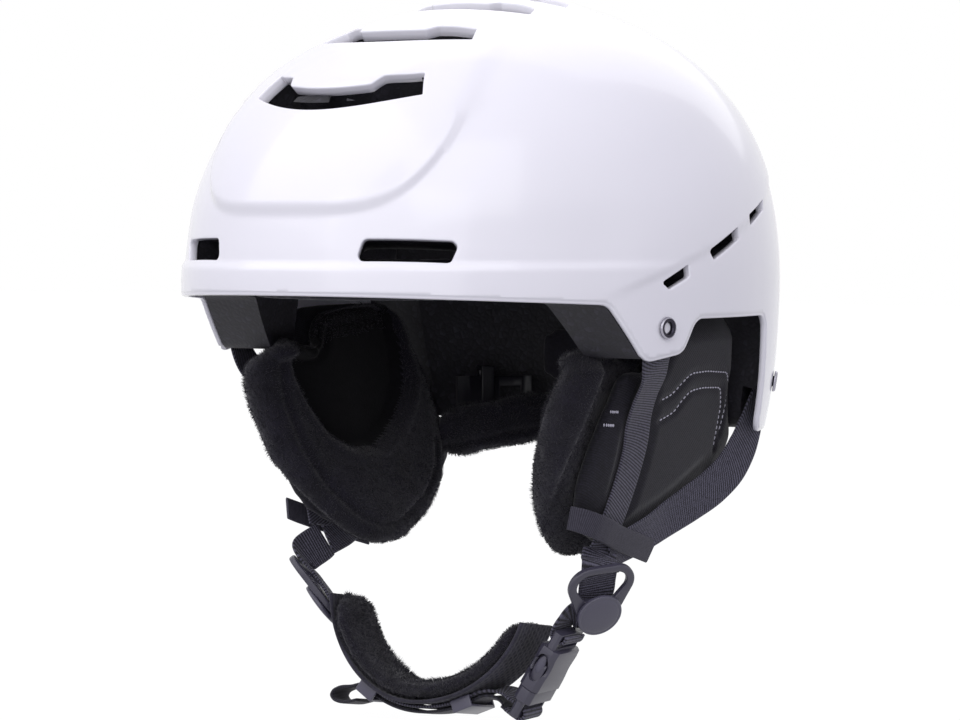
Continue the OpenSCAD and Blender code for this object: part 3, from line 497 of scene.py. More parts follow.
# the inner face is a copy of the outer one, turned round and moved in by the wall
origin = skin.verts.layers.int.new("origin")
sheet = list(skin.verts)
for i, v in enumerate(sheet):
    v[origin] = i
d = directions_of(skin)
outer = shell_point(d)
n = outward(outer)
without_lips = shell_point(d, 0, 0)
slot_gap = slot_distance(without_lips)
edge_gap = to_edge(without_lips)


def uphill(d, gap):
    """Direction along the surface in which a distance grows."""
    p = shell_point(d, 0, 0)
    return unit(surface_slope(p, gap, gap(p)) + 1e-9)


# the turned-in wall of a slot stands back from its outer edge by the flange
flange, flange_reach = 1.0, 4
at_slot = slot_gap < 5
shift = np.zeros((len(d), 3))
amount = flange * (1 - ease((slot_gap[at_slot] - slot_round) / flange_reach))
shift[at_slot] = uphill(d[at_slot], slot_distance) * amount[:, None]
inner = outer - n * shell_t + shift
border = [i for i, v in enumerate(sheet) if v.is_boundary]
for v, p in zip(sheet, outer):
    v.co = p
copied = bmesh.ops.duplicate(skin, geom=skin.verts[:] + skin.edges[:] + skin.faces[:])["geom"]
partner = {v[origin]: v for v in copied if isinstance(v, bmesh.types.BMVert)}
for i, v in partner.items():
    v.co = inner[i]
copies = set(partner.values())
bmesh.ops.reverse_faces(skin, faces=[f for f in copied if isinstance(f, bmesh.types.BMFace)])

# rings of the rim between them: (how far past the trimmed line, how deep)
step_rim = [(0.15, 0.25), (0.9, 0.25), (1.1, 0.32), (1.35, 0.55), (rim_band, 0.9),
            (rim_band, 1.9), (1.2, 2.3), (0.6, shell_t)]
slot_edge = [(slot_round * math.sin(a), slot_round * (1 - math.cos(a))) for a in (0.4, 0.8, 1.2)]


def slot_rim(depth):
    """A slot's wall, turned in to a depth that is more than the shell's thickness."""
    past = depth - shell_t
    return slot_edge + [(slot_round, 0.9), (slot_round, depth / 2), (slot_round, depth),
                        (slot_round * 0.4, depth + 0.3), (0.1 - flange, shell_t + 0.7 * past),
                        (0.05 - flange, shell_t + 0.35 * past)]


crown_wall, side_wall = 4.4, 3.0
at_edge = [(edge_gap[i] - rim_band < slot_gap[i] - slot_round) for i in border]
border_d = d[border]
toward = np.where(np.array(at_edge)[:, None], uphill(border_d, to_edge),
                  uphill(border_d, slot_distance))
rings = {}
for k, i in enumerate(border):
    profile = step_rim if at_edge[k] else slot_rim(crown_wall if outer[i][2] > 50 else side_wall)
    between = [skin.verts.new(outer[i] - toward[k] * a - n[i] * b) for a, b in profile]
    rings[i] = [sheet[i]] + between + [partner[i]]
for edge in [e for e in skin.edges if e.is_boundary and e.verts[0] not in copies]:
    a, b = edge.verts
    if edge.link_loops[0].vert is a:
        a, b = b, a
    a, b = rings[a[origin]], rings[b[origin]]
    for j in range(len(a) - 1):
        skin.faces.new((a[j], b[j], b[j + 1], a[j + 1]))
bmesh.ops.scale(skin, verts=skin.verts, vec=(MM, MM, MM))

# ABS, injection moulded and clear lacquered: near-white with a cool cast, glossy, with a trace
# of orange peel
lacquered_abs, tree, output = new_tree("lacquered_moulded_abs")
spot = add(tree, "TexCoord", {}).outputs["Object"]
cloud = add(tree, "TexNoise", {"Vector": spot, "Scale": 14.0, "Detail": 2.0})
tint = add(tree, "MixRGB", {0: cloud.outputs[0], 1: linear("#f1f0f8"), 2: linear("#f5f4fa")})
peel = add(tree, "TexNoise", {"Vector": spot, "Scale": 260.0, "Detail": 1.0})
bump = add(tree, "Bump", {"Height": peel.outputs[0], "Strength": 0.025, "Distance": 0.0004})
haze = add(tree, "MapRange", {"Value": cloud.outputs[0], "To Min": 0.2, "To Max": 0.27})
surface = add(tree, "BsdfPrincipled", {
    "Base Color": tint.outputs[0], "Roughness": haze.outputs[0], "IOR": 1.5, "Coat Weight": 0.5,
    "Coat Roughness": 0.06, "Normal": bump.outputs[0]})
tree.links.new(surface.outputs[0], output.inputs["Surface"])

shell = place_mesh(skin, "shell", lacquered_abs)
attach(shell, "helmet")
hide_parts("outer_shell")

# ---- impact liner ----
# Expanded-bead foam, dark and mottled: a dome whose outer face follows the shell, cut by the
# slots, the ear recesses, the dial's arch and the straps' channels. It is bonded in the shell.


def grow(outline, amount):
    """A closed outline moved outward, turning its corners with it."""
    ahead = np.roll(outline, -1, 0) - outline
    ahead = ahead / np.maximum(np.linalg.norm(ahead, axis=1, keepdims=True), 1e-9)
    heading = unit(ahead + np.roll(ahead, 1, 0) + 1e-12)
    turn = np.sum(outline[:, 0] * np.roll(outline[:, 1], -1)
                  - np.roll(outline[:, 0], -1) * outline[:, 1])
    return outline + np.stack([heading[:, 1], -heading[:, 0]], -1) * amount * np.sign(turn)


def prism(low, high):
    """A closed solid between two matching outlines in mm, as a bmesh in metres."""
    keep = np.linalg.norm(low - np.roll(low, 1, 0), axis=1) > 0.05
    bm = bmesh.new()
    base = bm.faces.new([bm.verts.new(p * MM) for p in low[keep]])
    top = bm.faces.new([bm.verts.new(p * MM) for p in high[keep]])
    bmesh.ops.bridge_loops(bm, edges=base.edges[:] + top.edges[:])
    bmesh.ops.recalc_face_normals(bm, faces=bm.faces)
    return bm


def settle(thing):
    """Applies every modifier of a piece to its mesh."""
    graph = bpy.context.evaluated_depsgraph_get()
    mesh = bpy.data.meshes.new_from_object(thing.evaluated_get(graph))
    thing.modifiers.clear()
    old, thing.data = thing.data, mesh
    bpy.data.meshes.remove(old)


def cut(thing, tools):
    """Cuts solids out of a piece."""
    for bm in tools:
        tool = place_mesh(bm, "cutter")
        change = thing.modifiers.new("cut", "BOOLEAN")
        change.operation = "DIFFERENCE"
        change.solver = "MANIFOLD"
        change.object = tool
        settle(thing)
        bpy.data.objects.remove(tool)


def dome(off, level, detail=1.0):
    """The egg shape as a closed body, off mm out, with as much of the shell's relief as detail."""
    bm = bmesh.new()
    bmesh.ops.create_icosphere(bm, subdivisions=level, radius=1)
    az, el = angles(directions_of(bm))
    for v, p in zip(list(bm.verts), egg(az, el, off + detail * relief(az, el))):
        v.co = p * MM
    return bm


def crown_at(x, s, off=0.0):
    """Point of the crown at a sideways distance x and an arc length s, as a slot's outline has."""
    k = np.sqrt(1 - (x / (shell_w / 2)) ** 2)
    phi = s / arc * math.pi / 180
    r = np.sqrt(1 - (np.sin(phi) * k) ** 2)
    return np.stack([x, -(shell_l / 2 + off) * np.cos(phi) * k + crown_back * (1 - r),
                     (crown_h + off) * np.sin(phi) * k], -1)


def side_prism(outline, half):
    """A solid across the whole helmet from an outline in (y, z)."""
    flat = np.stack([np.zeros(len(outline)), outline[:, 0], outline[:, 1]], -1)
    return prism(flat - (half, 0, 0), flat + (half, 0, 0))


liner_gap, liner_t = 0.2, 24.4
liner_off = -shell_t - liner_gap
inner_off = liner_off - liner_t
# the liner ends short of the shell's edge, and its ear recess reaches higher and further back
liner_notch_z, liner_lift, liner_back = 5, 1, 7
beyond_shell, cut_in, cut_out = 150, 60, 8
tools = [dome(inner_off, 5, 0.0),
         side_prism(edge_outline(liner_notch_z, liner_lift, liner_back), beyond_shell)]
arch = grow(dial_arch, 1)
flat = np.stack([arch[:, 0], np.zeros(len(arch)), arch[:, 1]], -1)
tools.append(prism(flat + (0, 90, 0), flat + (0, 200, 0)))
for (row, half, height, notch), outline in zip(crown_rows, crown_slots):
    wide = grow(outline[::3], 1.6)
    down = outward(crown_at(np.zeros(1), np.array([row * arc + height / 2])))[0]
    face = crown_at(wide[:, 0], wide[:, 1])
    tools.append(prism(face - down * cut_in, face + down * cut_out))
for outline, middle, along, across in side_slots:
    wide = grow(outline[::2], 1.2)
    face = middle + wide[:, :1] * along + wide[:, 1:] * across
    down = outward(middle)
    tools.append(prism(face - down * cut_in, face + down * cut_out))

# polystyrene beads fused in a steam mould: dark grey-violet cells between darker grooves, and a
# few paler beads; the cells are drawn about 2.4 mm wide, as the real ones are
bead_foam, tree, output = new_tree("steam_moulded_bead_foam")
spot = add(tree, "TexCoord", {}).outputs["Object"]
beads = add(tree, "TexVoronoi", {"Vector": spot, "Scale": 420.0}, feature="F1")
edges = add(tree, "TexVoronoi", {"Vector": spot, "Scale": 420.0}, feature="DISTANCE_TO_EDGE")
shade = add(tree, "ValToRGB",
            {0: add(tree, "SeparateColor", {0: beads.outputs["Color"]}).outputs[0]})
shade.color_ramp.elements[0].color = linear("#14121b")
shade.color_ramp.elements[1].position = 0.8
shade.color_ramp.elements[1].color = linear("#1d1b25")
shade.color_ramp.elements.new(0.97).color = linear("#2b2933")
groove = add(tree, "MapRange",
             {"Value": edges.outputs["Distance"], "From Max": 0.12, "To Min": 0.35})
tone = add(tree, "MixRGB", {0: groove.outputs[0], 1: linear("#0a0910"), 2: shade.outputs[0]})
bump = add(tree, "Bump", {"Height": edges.outputs["Distance"], "Strength": 0.5, "Distance": 0.0006})
surface = add(tree, "BsdfPrincipled",
              {"Base Color": tone.outputs[0], "Roughness": 0.68, "Normal": bump.outputs[0]})
tree.links.new(surface.outputs[0], output.inputs["Surface"])

liner = place_mesh(dome(liner_off, 6), "liner", bead_foam)

# ---- soft goods: how they are made ----
# Tubes swept along a smooth line of stations, each a place and the direction that the face looks,
# and pads that are blown up a little by their filling and then smoothed.


def lengths(points):
    """Distance along a line up to each of its points."""
    return np.concatenate([[0], np.cumsum(np.linalg.norm(np.diff(points, axis=0), axis=1))])


def path_frames(stations, step):
    """Places, side and face directions every step mm along a smooth curve through stations."""
    p, n = (np.array(part, float) for part in zip(*stations))
    t = lengths(p)
    slope = np.gradient(p, t, axis=0)
    dense = np.linspace(0, t[-1], int(t[-1] * 6) + 2)
    i = np.clip(np.searchsorted(t, dense, side="right") - 1, 0, len(t) - 2)
    h = (t[i + 1] - t[i])[:, None]
    u = (dense - t[i])[:, None] / h
    q = ((1 + 2 * u) * (1 - u) ** 2 * p[i] + u * (1 - u) ** 2 * h * slope[i]
         + u * u * (3 - 2 * u) * p[i + 1] + u * u * (u - 1) * h * slope[i + 1])
    s = lengths(q)
    at = np.linspace(0, s[-1], max(3, int(round(s[-1] / step)) + 1))
    place = np.stack([np.interp(at, s, q[:, k]) for k in range(3)], -1)
    where = np.interp(at, s, dense)
    face = np.stack([np.interp(where, t, n[:, k]) for k in range(3)], -1)
    along = unit(np.gradient(place, axis=0))
    side = unit(np.cross(face, along))
    return place, side, np.cross(along, side), at


def tube(points, uv, name, material):
    """A closed tube from rows of points in mm, whose last column repeats the first, and its UVs."""
    rows, columns = points.shape[:2]
    bm = bmesh.new()
    layer = bm.loops.layers.uv.new("cloth")
    bmesh.ops.create_grid(bm, x_segments=rows - 1, y_segments=columns - 1, size=1)
    key = {v: (round((v.co.x + 1) / 2 * (rows - 1)), round((v.co.y + 1) / 2 * (columns - 1)))
           for v in bm.verts}
    for face in bm.faces:
        for loop in face.loops:
            loop[layer].uv = uv[key[loop.vert]]
    for v, k in key.items():
        v.co = points[k] * MM
    seam = [v for v, k in key.items() if k[1] in (0, columns - 1)]
    bmesh.ops.remove_doubles(bm, verts=seam, dist=1e-7)
    bmesh.ops.holes_fill(bm, edges=[e for e in bm.edges if e.is_boundary], sides=0)
    bmesh.ops.recalc_face_normals(bm, faces=bm.faces)
    return place_mesh(bm, name, material)


def flat_section(w, t, count):
    """A flat closed section with round edges, as columns (across, out), the face first."""
    xs = np.linspace(1, -1, count) * (w / 2 - t / 2)
    bend = np.linspace(0, math.pi, 7)[1:-1]
    edge = np.stack([-w / 2 + t / 2 - t / 2 * np.sin(bend), t / 2 * np.cos(bend)], -1)
    face = np.stack([xs, np.full(count, t / 2)], -1)
    half = np.concatenate([face, edge])
    ring = np.concatenate([half, -half])
    return np.concatenate([ring, ring[:1]])


# spacing of a strap's points along it and across it, fine enough for its ribs
web_step, web_grain = 0.35, 0.55


def webbing(name, stations, w, t, material, slant=0.0, pitch=1.25, rib=0.17, body="helmet",
            hem=1.6):
    """Woven strap: ribs run across it, or at a slant, between two smooth selvedges."""
    place, side, out, at = path_frames(stations, web_step)
    section = flat_section(w, t, max(5, int(w / web_grain)))
    u, v = section[:, 0], section[:, 1]
    phase = (at[:, None] + math.tan(math.radians(slant)) * u[None, :]) / pitch
    wave = np.abs(np.cos(math.pi * phase))
    inside = ease((w / 2 - np.abs(u)) / hem * 2 - 1)[None, :]
    height = (v[None, :]
              + np.sign(v)[None, :] * (rib * (wave ** 1.1 - 1) * inside - 0.06 * (1 - inside)))
    points = place[:, None] + side[:, None] * u[None, :, None] + out[:, None] * height[..., None]
    uv = np.stack([np.broadcast_to(u, phase.shape), phase], -1)
    strap = tube(points, uv, name, material)
    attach(strap, body)
    return strap


def turned(profile, segments=48):
    """A closed body turned round Z from (radius, height) points in mm, in metres."""
    bm = bmesh.new()
    line = [bm.verts.new((r * MM, 0, z * MM)) for r, z in profile]
    edges = [bm.edges.new(pair) for pair in zip(line, line[1:])]
    bmesh.ops.spin(bm, geom=line + edges, axis=(0, 0, 1), cent=(0, 0, 0), steps=segments,
                   angle=2 * math.pi, use_merge=True)
    bmesh.ops.remove_doubles(bm, verts=bm.verts, dist=1e-6)
    bmesh.ops.recalc_face_normals(bm, faces=bm.faces)
    return bm


def seat_at(origin, x_axis, z_axis):
    """Matrix that puts a body's Z along z_axis and its X near x_axis, at a point in mm."""
    z = unit(z_axis)
    y = unit(np.cross(z, x_axis))
    x = np.cross(y, z)
    matrix = Matrix.Identity(4)
    for k in range(3):
        matrix[k][0], matrix[k][1], matrix[k][2], matrix[k][3] = x[k], y[k], z[k], origin[k] * MM
    return matrix


def joined(parts):
    """Several bmeshes as one."""
    whole = bmesh.new()
    for bm in parts:
        mesh = bpy.data.meshes.new("part")
        bm.to_mesh(mesh)
        bm.free()
        whole.from_mesh(mesh)
        bpy.data.meshes.remove(mesh)
    return whole


def points_of(thing):
    """A piece's points in mm."""
    co = np.empty(len(thing.data.vertices) * 3)
    thing.data.vertices.foreach_get("co", co)
    return co.reshape(-1, 3) / MM


def move_points(thing, points):
    """Puts a piece's points at places in mm."""
    thing.data.vertices.foreach_set("co", (points * MM).ravel())
    thing.data.update()


fill_pressure, fill_frames = 4.0, 20


def stuffed(thing, voxel, swell, smooth):
    """Fills a closed pad: even mesh, cloth under pressure that moves swell mm at most, smoothed."""
    change = thing.modifiers.new("even", "REMESH")
    change.mode = "VOXEL"
    change.voxel_size = voxel * MM
    settle(thing)
    start = points_of(thing)
    cloth = thing.modifiers.new("cloth", "CLOTH")
    cloth.settings.use_pressure = True
    cloth.settings.uniform_pressure_force = fill_pressure
    cloth.settings.effector_weights.gravity = 0
    cloth.point_cache.frame_start = 1
    cloth.point_cache.frame_end = fill_frames
    for number in range(1, fill_frames + 1):
        bpy.context.scene.frame_set(number)
    blown = thing.evaluated_get(bpy.context.evaluated_depsgraph_get()).to_mesh()
    co = np.empty(len(blown.vertices) * 3)
    blown.vertices.foreach_get("co", co)
    thing.modifiers.clear()
    bpy.context.scene.frame_set(1)
    step = co.reshape(-1, 3) / MM - start
    size = np.linalg.norm(step, axis=1, keepdims=True)
    move_points(thing, start + step * np.minimum(1, swell / np.maximum(size, 1e-6)))
    finer = thing.modifiers.new("finer", "SUBSURF")
    finer.levels = finer.render_levels = smooth
    settle(thing)
    thing.data.shade_smooth()


def line_distance(line, u, v):
    """Distance of points to an open line."""
    near = np.full(u.shape, 1e9)
    for a, b in zip(line[:-1], line[1:]):
        near = np.minimum(near, segment_distance(a, b, u, v))
    return near


def smooth_line(points, spacing, closed=False, rounds=6):
    """Points resampled evenly and rounded off, for seams and outlines."""
    points = np.array(points, float)
    if closed:
        points = np.vstack([points, points[:1]])
    s = lengths(points)
    at = np.linspace(0, s[-1], int(s[-1] / spacing) + 1)
    line = np.stack([np.interp(at, s, points[:, k]) for k in range(points.shape[1])], -1)
    if closed:
        line = line[:-1]
    for _ in range(rounds):
        before, after = np.roll(line, 1, 0), np.roll(line, -1, 0)
        if not closed:
            before[0], after[-1] = line[0], line[-1]
            before[-1] = line[-2]
        line = (before + 2 * line + after) / 4
    return line


def pile(thing, count, length, material, seed, wanted=None):
    """Short fibres on a fleece piece: thin three-sided spikes that lean together in small tufts."""
    tuft = 4.0
    mesh = thing.data
    mesh.calc_loop_triangles()
    corner = np.empty(len(mesh.loop_triangles) * 3, int)
    mesh.loop_triangles.foreach_get("vertices", corner)
    a, b, c = (points_of(thing)[corner.reshape(-1, 3)[:, k]] for k in range(3))
    cross = np.cross(b - a, c - a)
    area = np.linalg.norm(cross, axis=1)
    if wanted is not None:
        area = area * wanted((a + b + c) / 3)
    rng = np.random.default_rng(seed)
    pick = rng.choice(len(a), count, p=area / area.sum())
    u, v = rng.random((2, count, 1))
    flip = u + v > 1
    u, v = np.where(flip, 1 - u, u), np.where(flip, 1 - v, v)
    root = a[pick] + u * (b - a)[pick] + v * (c - a)[pick]
    n = unit(cross[pick])
    lean = (np.sin(root / tuft + 1.7 * np.cos(root[:, [1, 2, 0]] / tuft))
            + 0.5 * rng.normal(size=(count, 3)))
    long = length * (0.6 + 0.8 * rng.random((count, 1)))
    bend = unit(n + 0.55 * lean)
    tip = root + long * bend + 0.35 * long * lean
    across = unit(np.cross(n, lean + 1e-6))
    up = np.cross(n, across)
    rings = []
    for share, radius in ((-0.1, 0.13), (0.55, 0.09)):
        middle = root + long * share * (n if share < 0 else unit(2 * n + bend))
        for k in range(3):
            w = 2 * math.pi * k / 3
            rings.append(middle + radius * (math.cos(w) * across + math.sin(w) * up))
    verts = np.stack(rings + [tip], 1).reshape(-1, 3)
    faces = []
    for k in range(3):
        m = (k + 1) % 3
        faces += [(k, m, 3 + m), (k, 3 + m, 3 + k), (3 + k, 3 + m, 6)]
    faces = (np.array(faces)[None] + 7 * np.arange(count)[:, None, None]).reshape(-1, 3)
    hair = bpy.data.meshes.new(thing.name + "_pile")
    hair.vertices.add(len(verts))
    hair.vertices.foreach_set("co", (verts * MM).ravel())
    hair.loops.add(faces.size)
    hair.loops.foreach_set("vertex_index", faces.ravel())
    hair.polygons.add(len(faces))
    hair.polygons.foreach_set("loop_start", np.arange(len(faces)) * 3)
    hair.polygons.foreach_set("loop_total", np.full(len(faces), 3))
    hair.update()
    hair.validate()
    hair.shade_smooth()
    hair.materials.append(material)
    fibres = bpy.data.objects.new(hair.name, hair)
    bpy.context.scene.collection.objects.link(fibres)
    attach(fibres, "helmet")


def cloth_of(name, low, high, scale, roughness=0.85, sheen=0.15, depth=0.0003, strength=0.5):
    """Short-napped or brushed cloth: fine mottled tone in the round, with a soft sheen."""
    material, tree, output = new_tree(name)
    spot = add(tree, "TexCoord", {}).outputs["Object"]
    fine = add(tree, "TexNoise", {"Vector": spot, "Scale": scale, "Detail": 3.0})
    broad = add(tree, "TexNoise", {"Vector": spot, "Scale": scale / 14, "Detail": 1.0})
    mixed = add(tree, "Math", {0: fine.outputs[0], 1: broad.outputs[0]}, operation="MULTIPLY")
    level = add(tree, "MapRange", {"Value": mixed.outputs[0], "From Min": 0.12, "From Max": 0.42})
    tone = add(tree, "MixRGB", {0: level.outputs[0], 1: linear(low), 2: linear(high)})
    bump = add(tree, "Bump", {"Height": fine.outputs[0], "Strength": strength, "Distance": depth})
    surface = add(tree, "BsdfPrincipled", {
        "Base Color": tone.outputs[0], "Roughness": roughness, "Sheen Weight": sheen,
        "Sheen Roughness": 0.6,
        "Specular IOR Level": 0.2, "Normal": bump.outputs[0]})
    tree.links.new(surface.outputs[0], output.inputs["Surface"])
    return material


def woven(name, low, high, thread, across=0.9):
    """Woven band on a UV map in mm across and ribs along: rib tops painted light as a highlight,
    the gaps between them painted dark as shade, and its yarns.
    """
    material, tree, output = new_tree(name)
    spot = add(tree, "TexCoord", {}).outputs["UV"]
    split = add(tree, "SeparateXYZ", {0: spot})
    turn = add(tree, "Math", {0: split.outputs[1], 1: math.pi}, operation="MULTIPLY")
    wave = add(tree, "Math", {0: turn.outputs[0]}, operation="COSINE")
    wave = add(tree, "Math", {0: wave.outputs[0]}, operation="ABSOLUTE")
    yarn = add(tree, "Math", {0: split.outputs[0], 1: math.pi / across}, operation="MULTIPLY")
    yarn = add(tree, "Math", {0: yarn.outputs[0]}, operation="COSINE")
    yarn = add(tree, "Math", {0: yarn.outputs[0]}, operation="ABSOLUTE")
    spot = add(tree, "TexCoord", {}).outputs["Object"]
    grain = add(tree, "TexNoise", {"Vector": spot, "Scale": 900.0, "Detail": 2.0})
    # painted highlight on the rib crests and painted shade in the gaps, in step with the strap's
    # geometric ribs
    level = add(tree, "Math", {0: wave.outputs[0], 1: 2.2}, operation="POWER")
    level = add(tree, "Math", {0: level.outputs[0], 1: grain.outputs[0]}, operation="MULTIPLY")
    level = add(tree, "Math", {0: yarn.outputs[0], 1: 0.12, 2: level.outputs[0]},
                operation="MULTIPLY_ADD")
    level = add(tree, "MapRange", {"Value": level.outputs[0], "From Min": 0.1, "From Max": 0.55})
    tone = add(tree, "MixRGB", {0: level.outputs[0], 1: linear(low), 2: linear(high)})
    rise = add(tree, "Math", {0: yarn.outputs[0], 1: grain.outputs[0]}, operation="ADD")
    bump = add(tree, "Bump", {"Height": rise.outputs[0], "Strength": 0.4, "Distance": thread})
    surface = add(tree, "BsdfPrincipled", {
        "Base Color": tone.outputs[0], "Roughness": 0.7, "Sheen Weight": 0.1,
        "Sheen Roughness": 0.5, "Specular IOR Level": 0.3, "Normal": bump.outputs[0]})
    tree.links.new(surface.outputs[0], output.inputs["Surface"])
    return material


def moulded(name, low, high, roughness, scale, depth, level=0.5, metallic=0.0):
    """A moulded or plated surface: even tone, fine grain, slight wear in the gloss."""
    material, tree, output = new_tree(name)
    spot = add(tree, "TexCoord", {}).outputs["Object"]
    cloud = add(tree, "TexNoise", {"Vector": spot, "Scale": 60.0, "Detail": 3.0})
    grain = add(tree, "TexNoise", {"Vector": spot, "Scale": scale, "Detail": 1.0})
    tone = add(tree, "MixRGB", {0: cloud.outputs[0], 1: linear(low), 2: linear(high)})
    gloss = add(tree, "MapRange", {
        "Value": cloud.outputs[0], "To Min": roughness - 0.06, "To Max": roughness + 0.06})
    bump = add(tree, "Bump", {"Height": grain.outputs[0], "Strength": 0.5, "Distance": depth})
    surface = add(tree, "BsdfPrincipled", {
        "Base Color": tone.outputs[0], "Roughness": gloss.outputs[0], "Metallic": metallic,
        "Normal": bump.outputs[0]})
    if not metallic:
        surface.inputs["Specular IOR Level"].default_value = level
    tree.links.new(surface.outputs[0], output.inputs["Surface"])
    return material


front_rivet = skin_z(76.2, -8.7)
rear_rivet = skin_z(125, -34)
web_w, web_t, seat = 16.0, 1.4, 0.3
web_off = seat + web_t / 2


def ear_x(y, z):
    """How far out the ear pad's face lies: it leans in to the jaw and follows the cheek."""
    y, z = np.asarray(y, float), np.asarray(z, float)
    return 97 + 0.35 * np.minimum(0, z + 15) - np.where(y < 0, 0.0008, 0.0012) * y * y


def on_ear(y, z, off):
    """Point off mm outside the left ear pad's face."""
    return np.array([float(ear_x(y, z)) + off, y, z])


def ear_out(y, z):
    """Outward direction of the left ear pad's face."""
    return unit(np.cross([ear_x(y + 1, z) - ear_x(y - 1, z), 2, 0],
                         [ear_x(y, z + 1) - ear_x(y, z - 1), 0, 2]))


def ear_stations(line, off):
    return [(on_ear(y, z, off), ear_out(y, z)) for y, z in line]


right_flare = 8


def flare(p):
    """Points in mm on the right, where the pad hangs further out towards its front edge."""
    p = np.array(p, float)
    p[..., 0] -= right_flare * ease((-p[..., 1] - 2) / 50) * ease((-p[..., 2] - 16) / 16)
    return p


def mirrored(stations):
    """Stations of the left side on the right."""
    flip = np.array([-1, 1, 1])
    return [(flare(np.asarray(p) * flip), np.asarray(n) * flip) for p, n in stations]


rivet_in = -shell_t - web_t / 2 - 1.1
top = front_rivet + outward(front_rivet) * rivet_in
front_run = [(-19.5, -46), (-16.5, -56), (-15.5, -68), (-16, -80), (-17, -88), (-18, -95)]
front_stations = [(top + (0.3, 0, 8.5), (1, -0.2, 0)), (top, (1, -0.2, 0)),
                  (top + (-1.6, 1.2, -12), (1, -0.2, -0.1)),
                  (on_ear(-27, -29, web_off + 6), (1, -0.15, -0.1)),
                  (on_ear(-23, -37.5, web_off + 2.2), (1, -0.1, -0.15))]
front_stations += ear_stations(front_run, web_off)
top = rear_rivet + outward(rear_rivet) * rivet_in
rear_run = [(-4, -97), (-15, -100)]
rear_stations = [(top + (-6, 7.2, 2), outward(rear_rivet)), (top, outward(rear_rivet)),
                 ((89.6, 65, -45.5), unit((1, 0.1, 0))), ((88.6, 62.5, -52.5), unit((1, -0.1, 0))),
                 ((87, 60, -60), unit((1, -0.25, 0))), ((84.8, 54.8, -68.5), unit((1, -0.35, 0))),
                 ((82, 45.8, -75.8), unit((1, -0.35, 0))),
                 ((78.5, 33.5, -82.2), unit((1, -0.35, -0.1))),
                 ((75.2, 21.3, -87.8), unit((1, -0.25, -0.2))),
                 ((73.2, 7.5, -93.3), unit((1, -0.1, -0.3)))]
rear_stations += ear_stations(rear_run, web_off + web_t + 0.4)

# channels in the liner's outer face for the straps
channel_w, channel_deep = 20, 4
for stations in (front_stations, rear_stations, mirrored(front_stations), mirrored(rear_stations)):
    place, side, out, _ = path_frames(stations, 6)
    keep = place[:, 2] > -70
    place, side, out = place[keep], side[keep], out[keep]
    ring = [place[:, None] + side[:, None] * a * channel_w / 2 + out[:, None] * b * channel_deep
            for a, b in ((-1, -1), (1, -1), (1, 1), (-1, 1), (-1, -1))]
    channel = tube(np.concatenate(ring, 1), np.zeros((len(place), 5, 2)), "channel", bead_foam)
    bm = bmesh.new()
    bm.from_mesh(channel.data)
    bpy.data.objects.remove(channel)
    tools.append(bm)
cut(liner, tools)
liner.data.shade_smooth()
liner.data.set_sharp_from_angle(angle=math.radians(38))
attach(liner, "helmet")
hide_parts("impact_liner")

# ---- comfort pads ----
# Brushed tricot over soft foam, held to the liner's inner face by hook tape: a brow pad, a crown
# pad and two side pads, and the cradle pad on the fit system.

tricot = cloth_of("brushed_tricot_over_foam", "#131119", "#24212d", 1100.0, sheen=0.2)
pad_t = 5.5


def inside(az1, az2, n, z, off):
    """Stations level round the inside of the liner."""
    places = [egg(az1 + (az2 - az1) * i / n, skin_el(z), off) for i in range(n + 1)]
    return [(p, outward(p)) for p in places]


def pad_off(w):
    """How far in a flat pad w mm wide lies, so that its long edges clear the curved liner."""
    sag = w * w / 8 * (crown_h + inner_off) / (shell_w / 2 + inner_off) ** 2
    return inner_off - pad_t / 2 - seat - 1 - sag


# the fit system's arms run on a circle round the nape: its middle and its inner radius
nape_y, nape_r = 31, 63.6


def nape(a1, a2, n, r, z0, sag):
    """Stations on an arc round the nape, lower by the sag at its sides."""
    sweep = np.radians(np.linspace(a1, a2, n + 1))
    return [((r * math.sin(a), nape_y + r * math.cos(a), z0 - sag * math.sin(a) ** 2),
             (math.sin(a), math.cos(a), 0)) for a in sweep]


def pad_along(name, stations, w, t, material, voxel, round_end=8.0, slim=0.9, swell=1.4,
              smooth=1, step=2.0):
    """A pad swept along stations: rounded section, ends that close in an arc, then stuffed."""
    place, side, out, at = path_frames(stations, step)
    turn = np.linspace(0, 2 * math.pi, 33)
    u = np.sign(np.cos(turn)) * np.abs(np.cos(turn)) ** 0.5 * w / 2
    v = np.sign(np.sin(turn)) * np.abs(np.sin(turn)) ** 0.7 * t / 2
    gap = np.minimum(at, at[-1] - at)
    taper = np.sqrt(np.clip(1 - (1 - np.clip(gap / round_end, 0, 1)) ** 2, 0.04, 1))
    wide = 1 - (1 - taper) * min(1, 2 * round_end / w)
    points = (place[:, None] + side[:, None] * (u[None] * wide[:, None])[..., None] * slim
              + out[:, None] * (v[None] * taper[:, None])[..., None] * slim)
    pad = tube(points, np.zeros(points.shape[:2] + (2,)), name, material)
    stuffed(pad, voxel, swell, smooth)
    return pad


band_w, crown_pad_w = 20, 46
brow_pad = pad_along("brow_pad", inside(-54, 54, 14, 13, pad_off(band_w)), band_w, pad_t, tricot, 3)
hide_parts("brow_pad")
crown_stations = []
for phi in range(58, 123, 8):
    spot = np.zeros(1), np.array([phi * arc])
    crown_stations.append((crown_at(*spot, pad_off(crown_pad_w))[0], outward(crown_at(*spot)[0])))
crown_pad = pad_along("crown_pad", crown_stations, crown_pad_w, pad_t, tricot, 3, round_end=12)
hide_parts("crown_pad")
side_pads = [pad_along("side_pad", inside(s * 66, s * 112, 7, 20, pad_off(band_w)), band_w, pad_t,
                       tricot, 3) for s in (-1, 1)]
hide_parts("side_pads")
cradle_r, cradle_z, cradle_w = nape_r - seat - pad_t / 2 - 0.4, dial_z + 18.2, 26
cradle_pad = pad_along("cradle_pad", nape(-30, 30, 8, cradle_r, cradle_z, 0), cradle_w, pad_t,
                       tricot, 3)
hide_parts("cradle_pad")
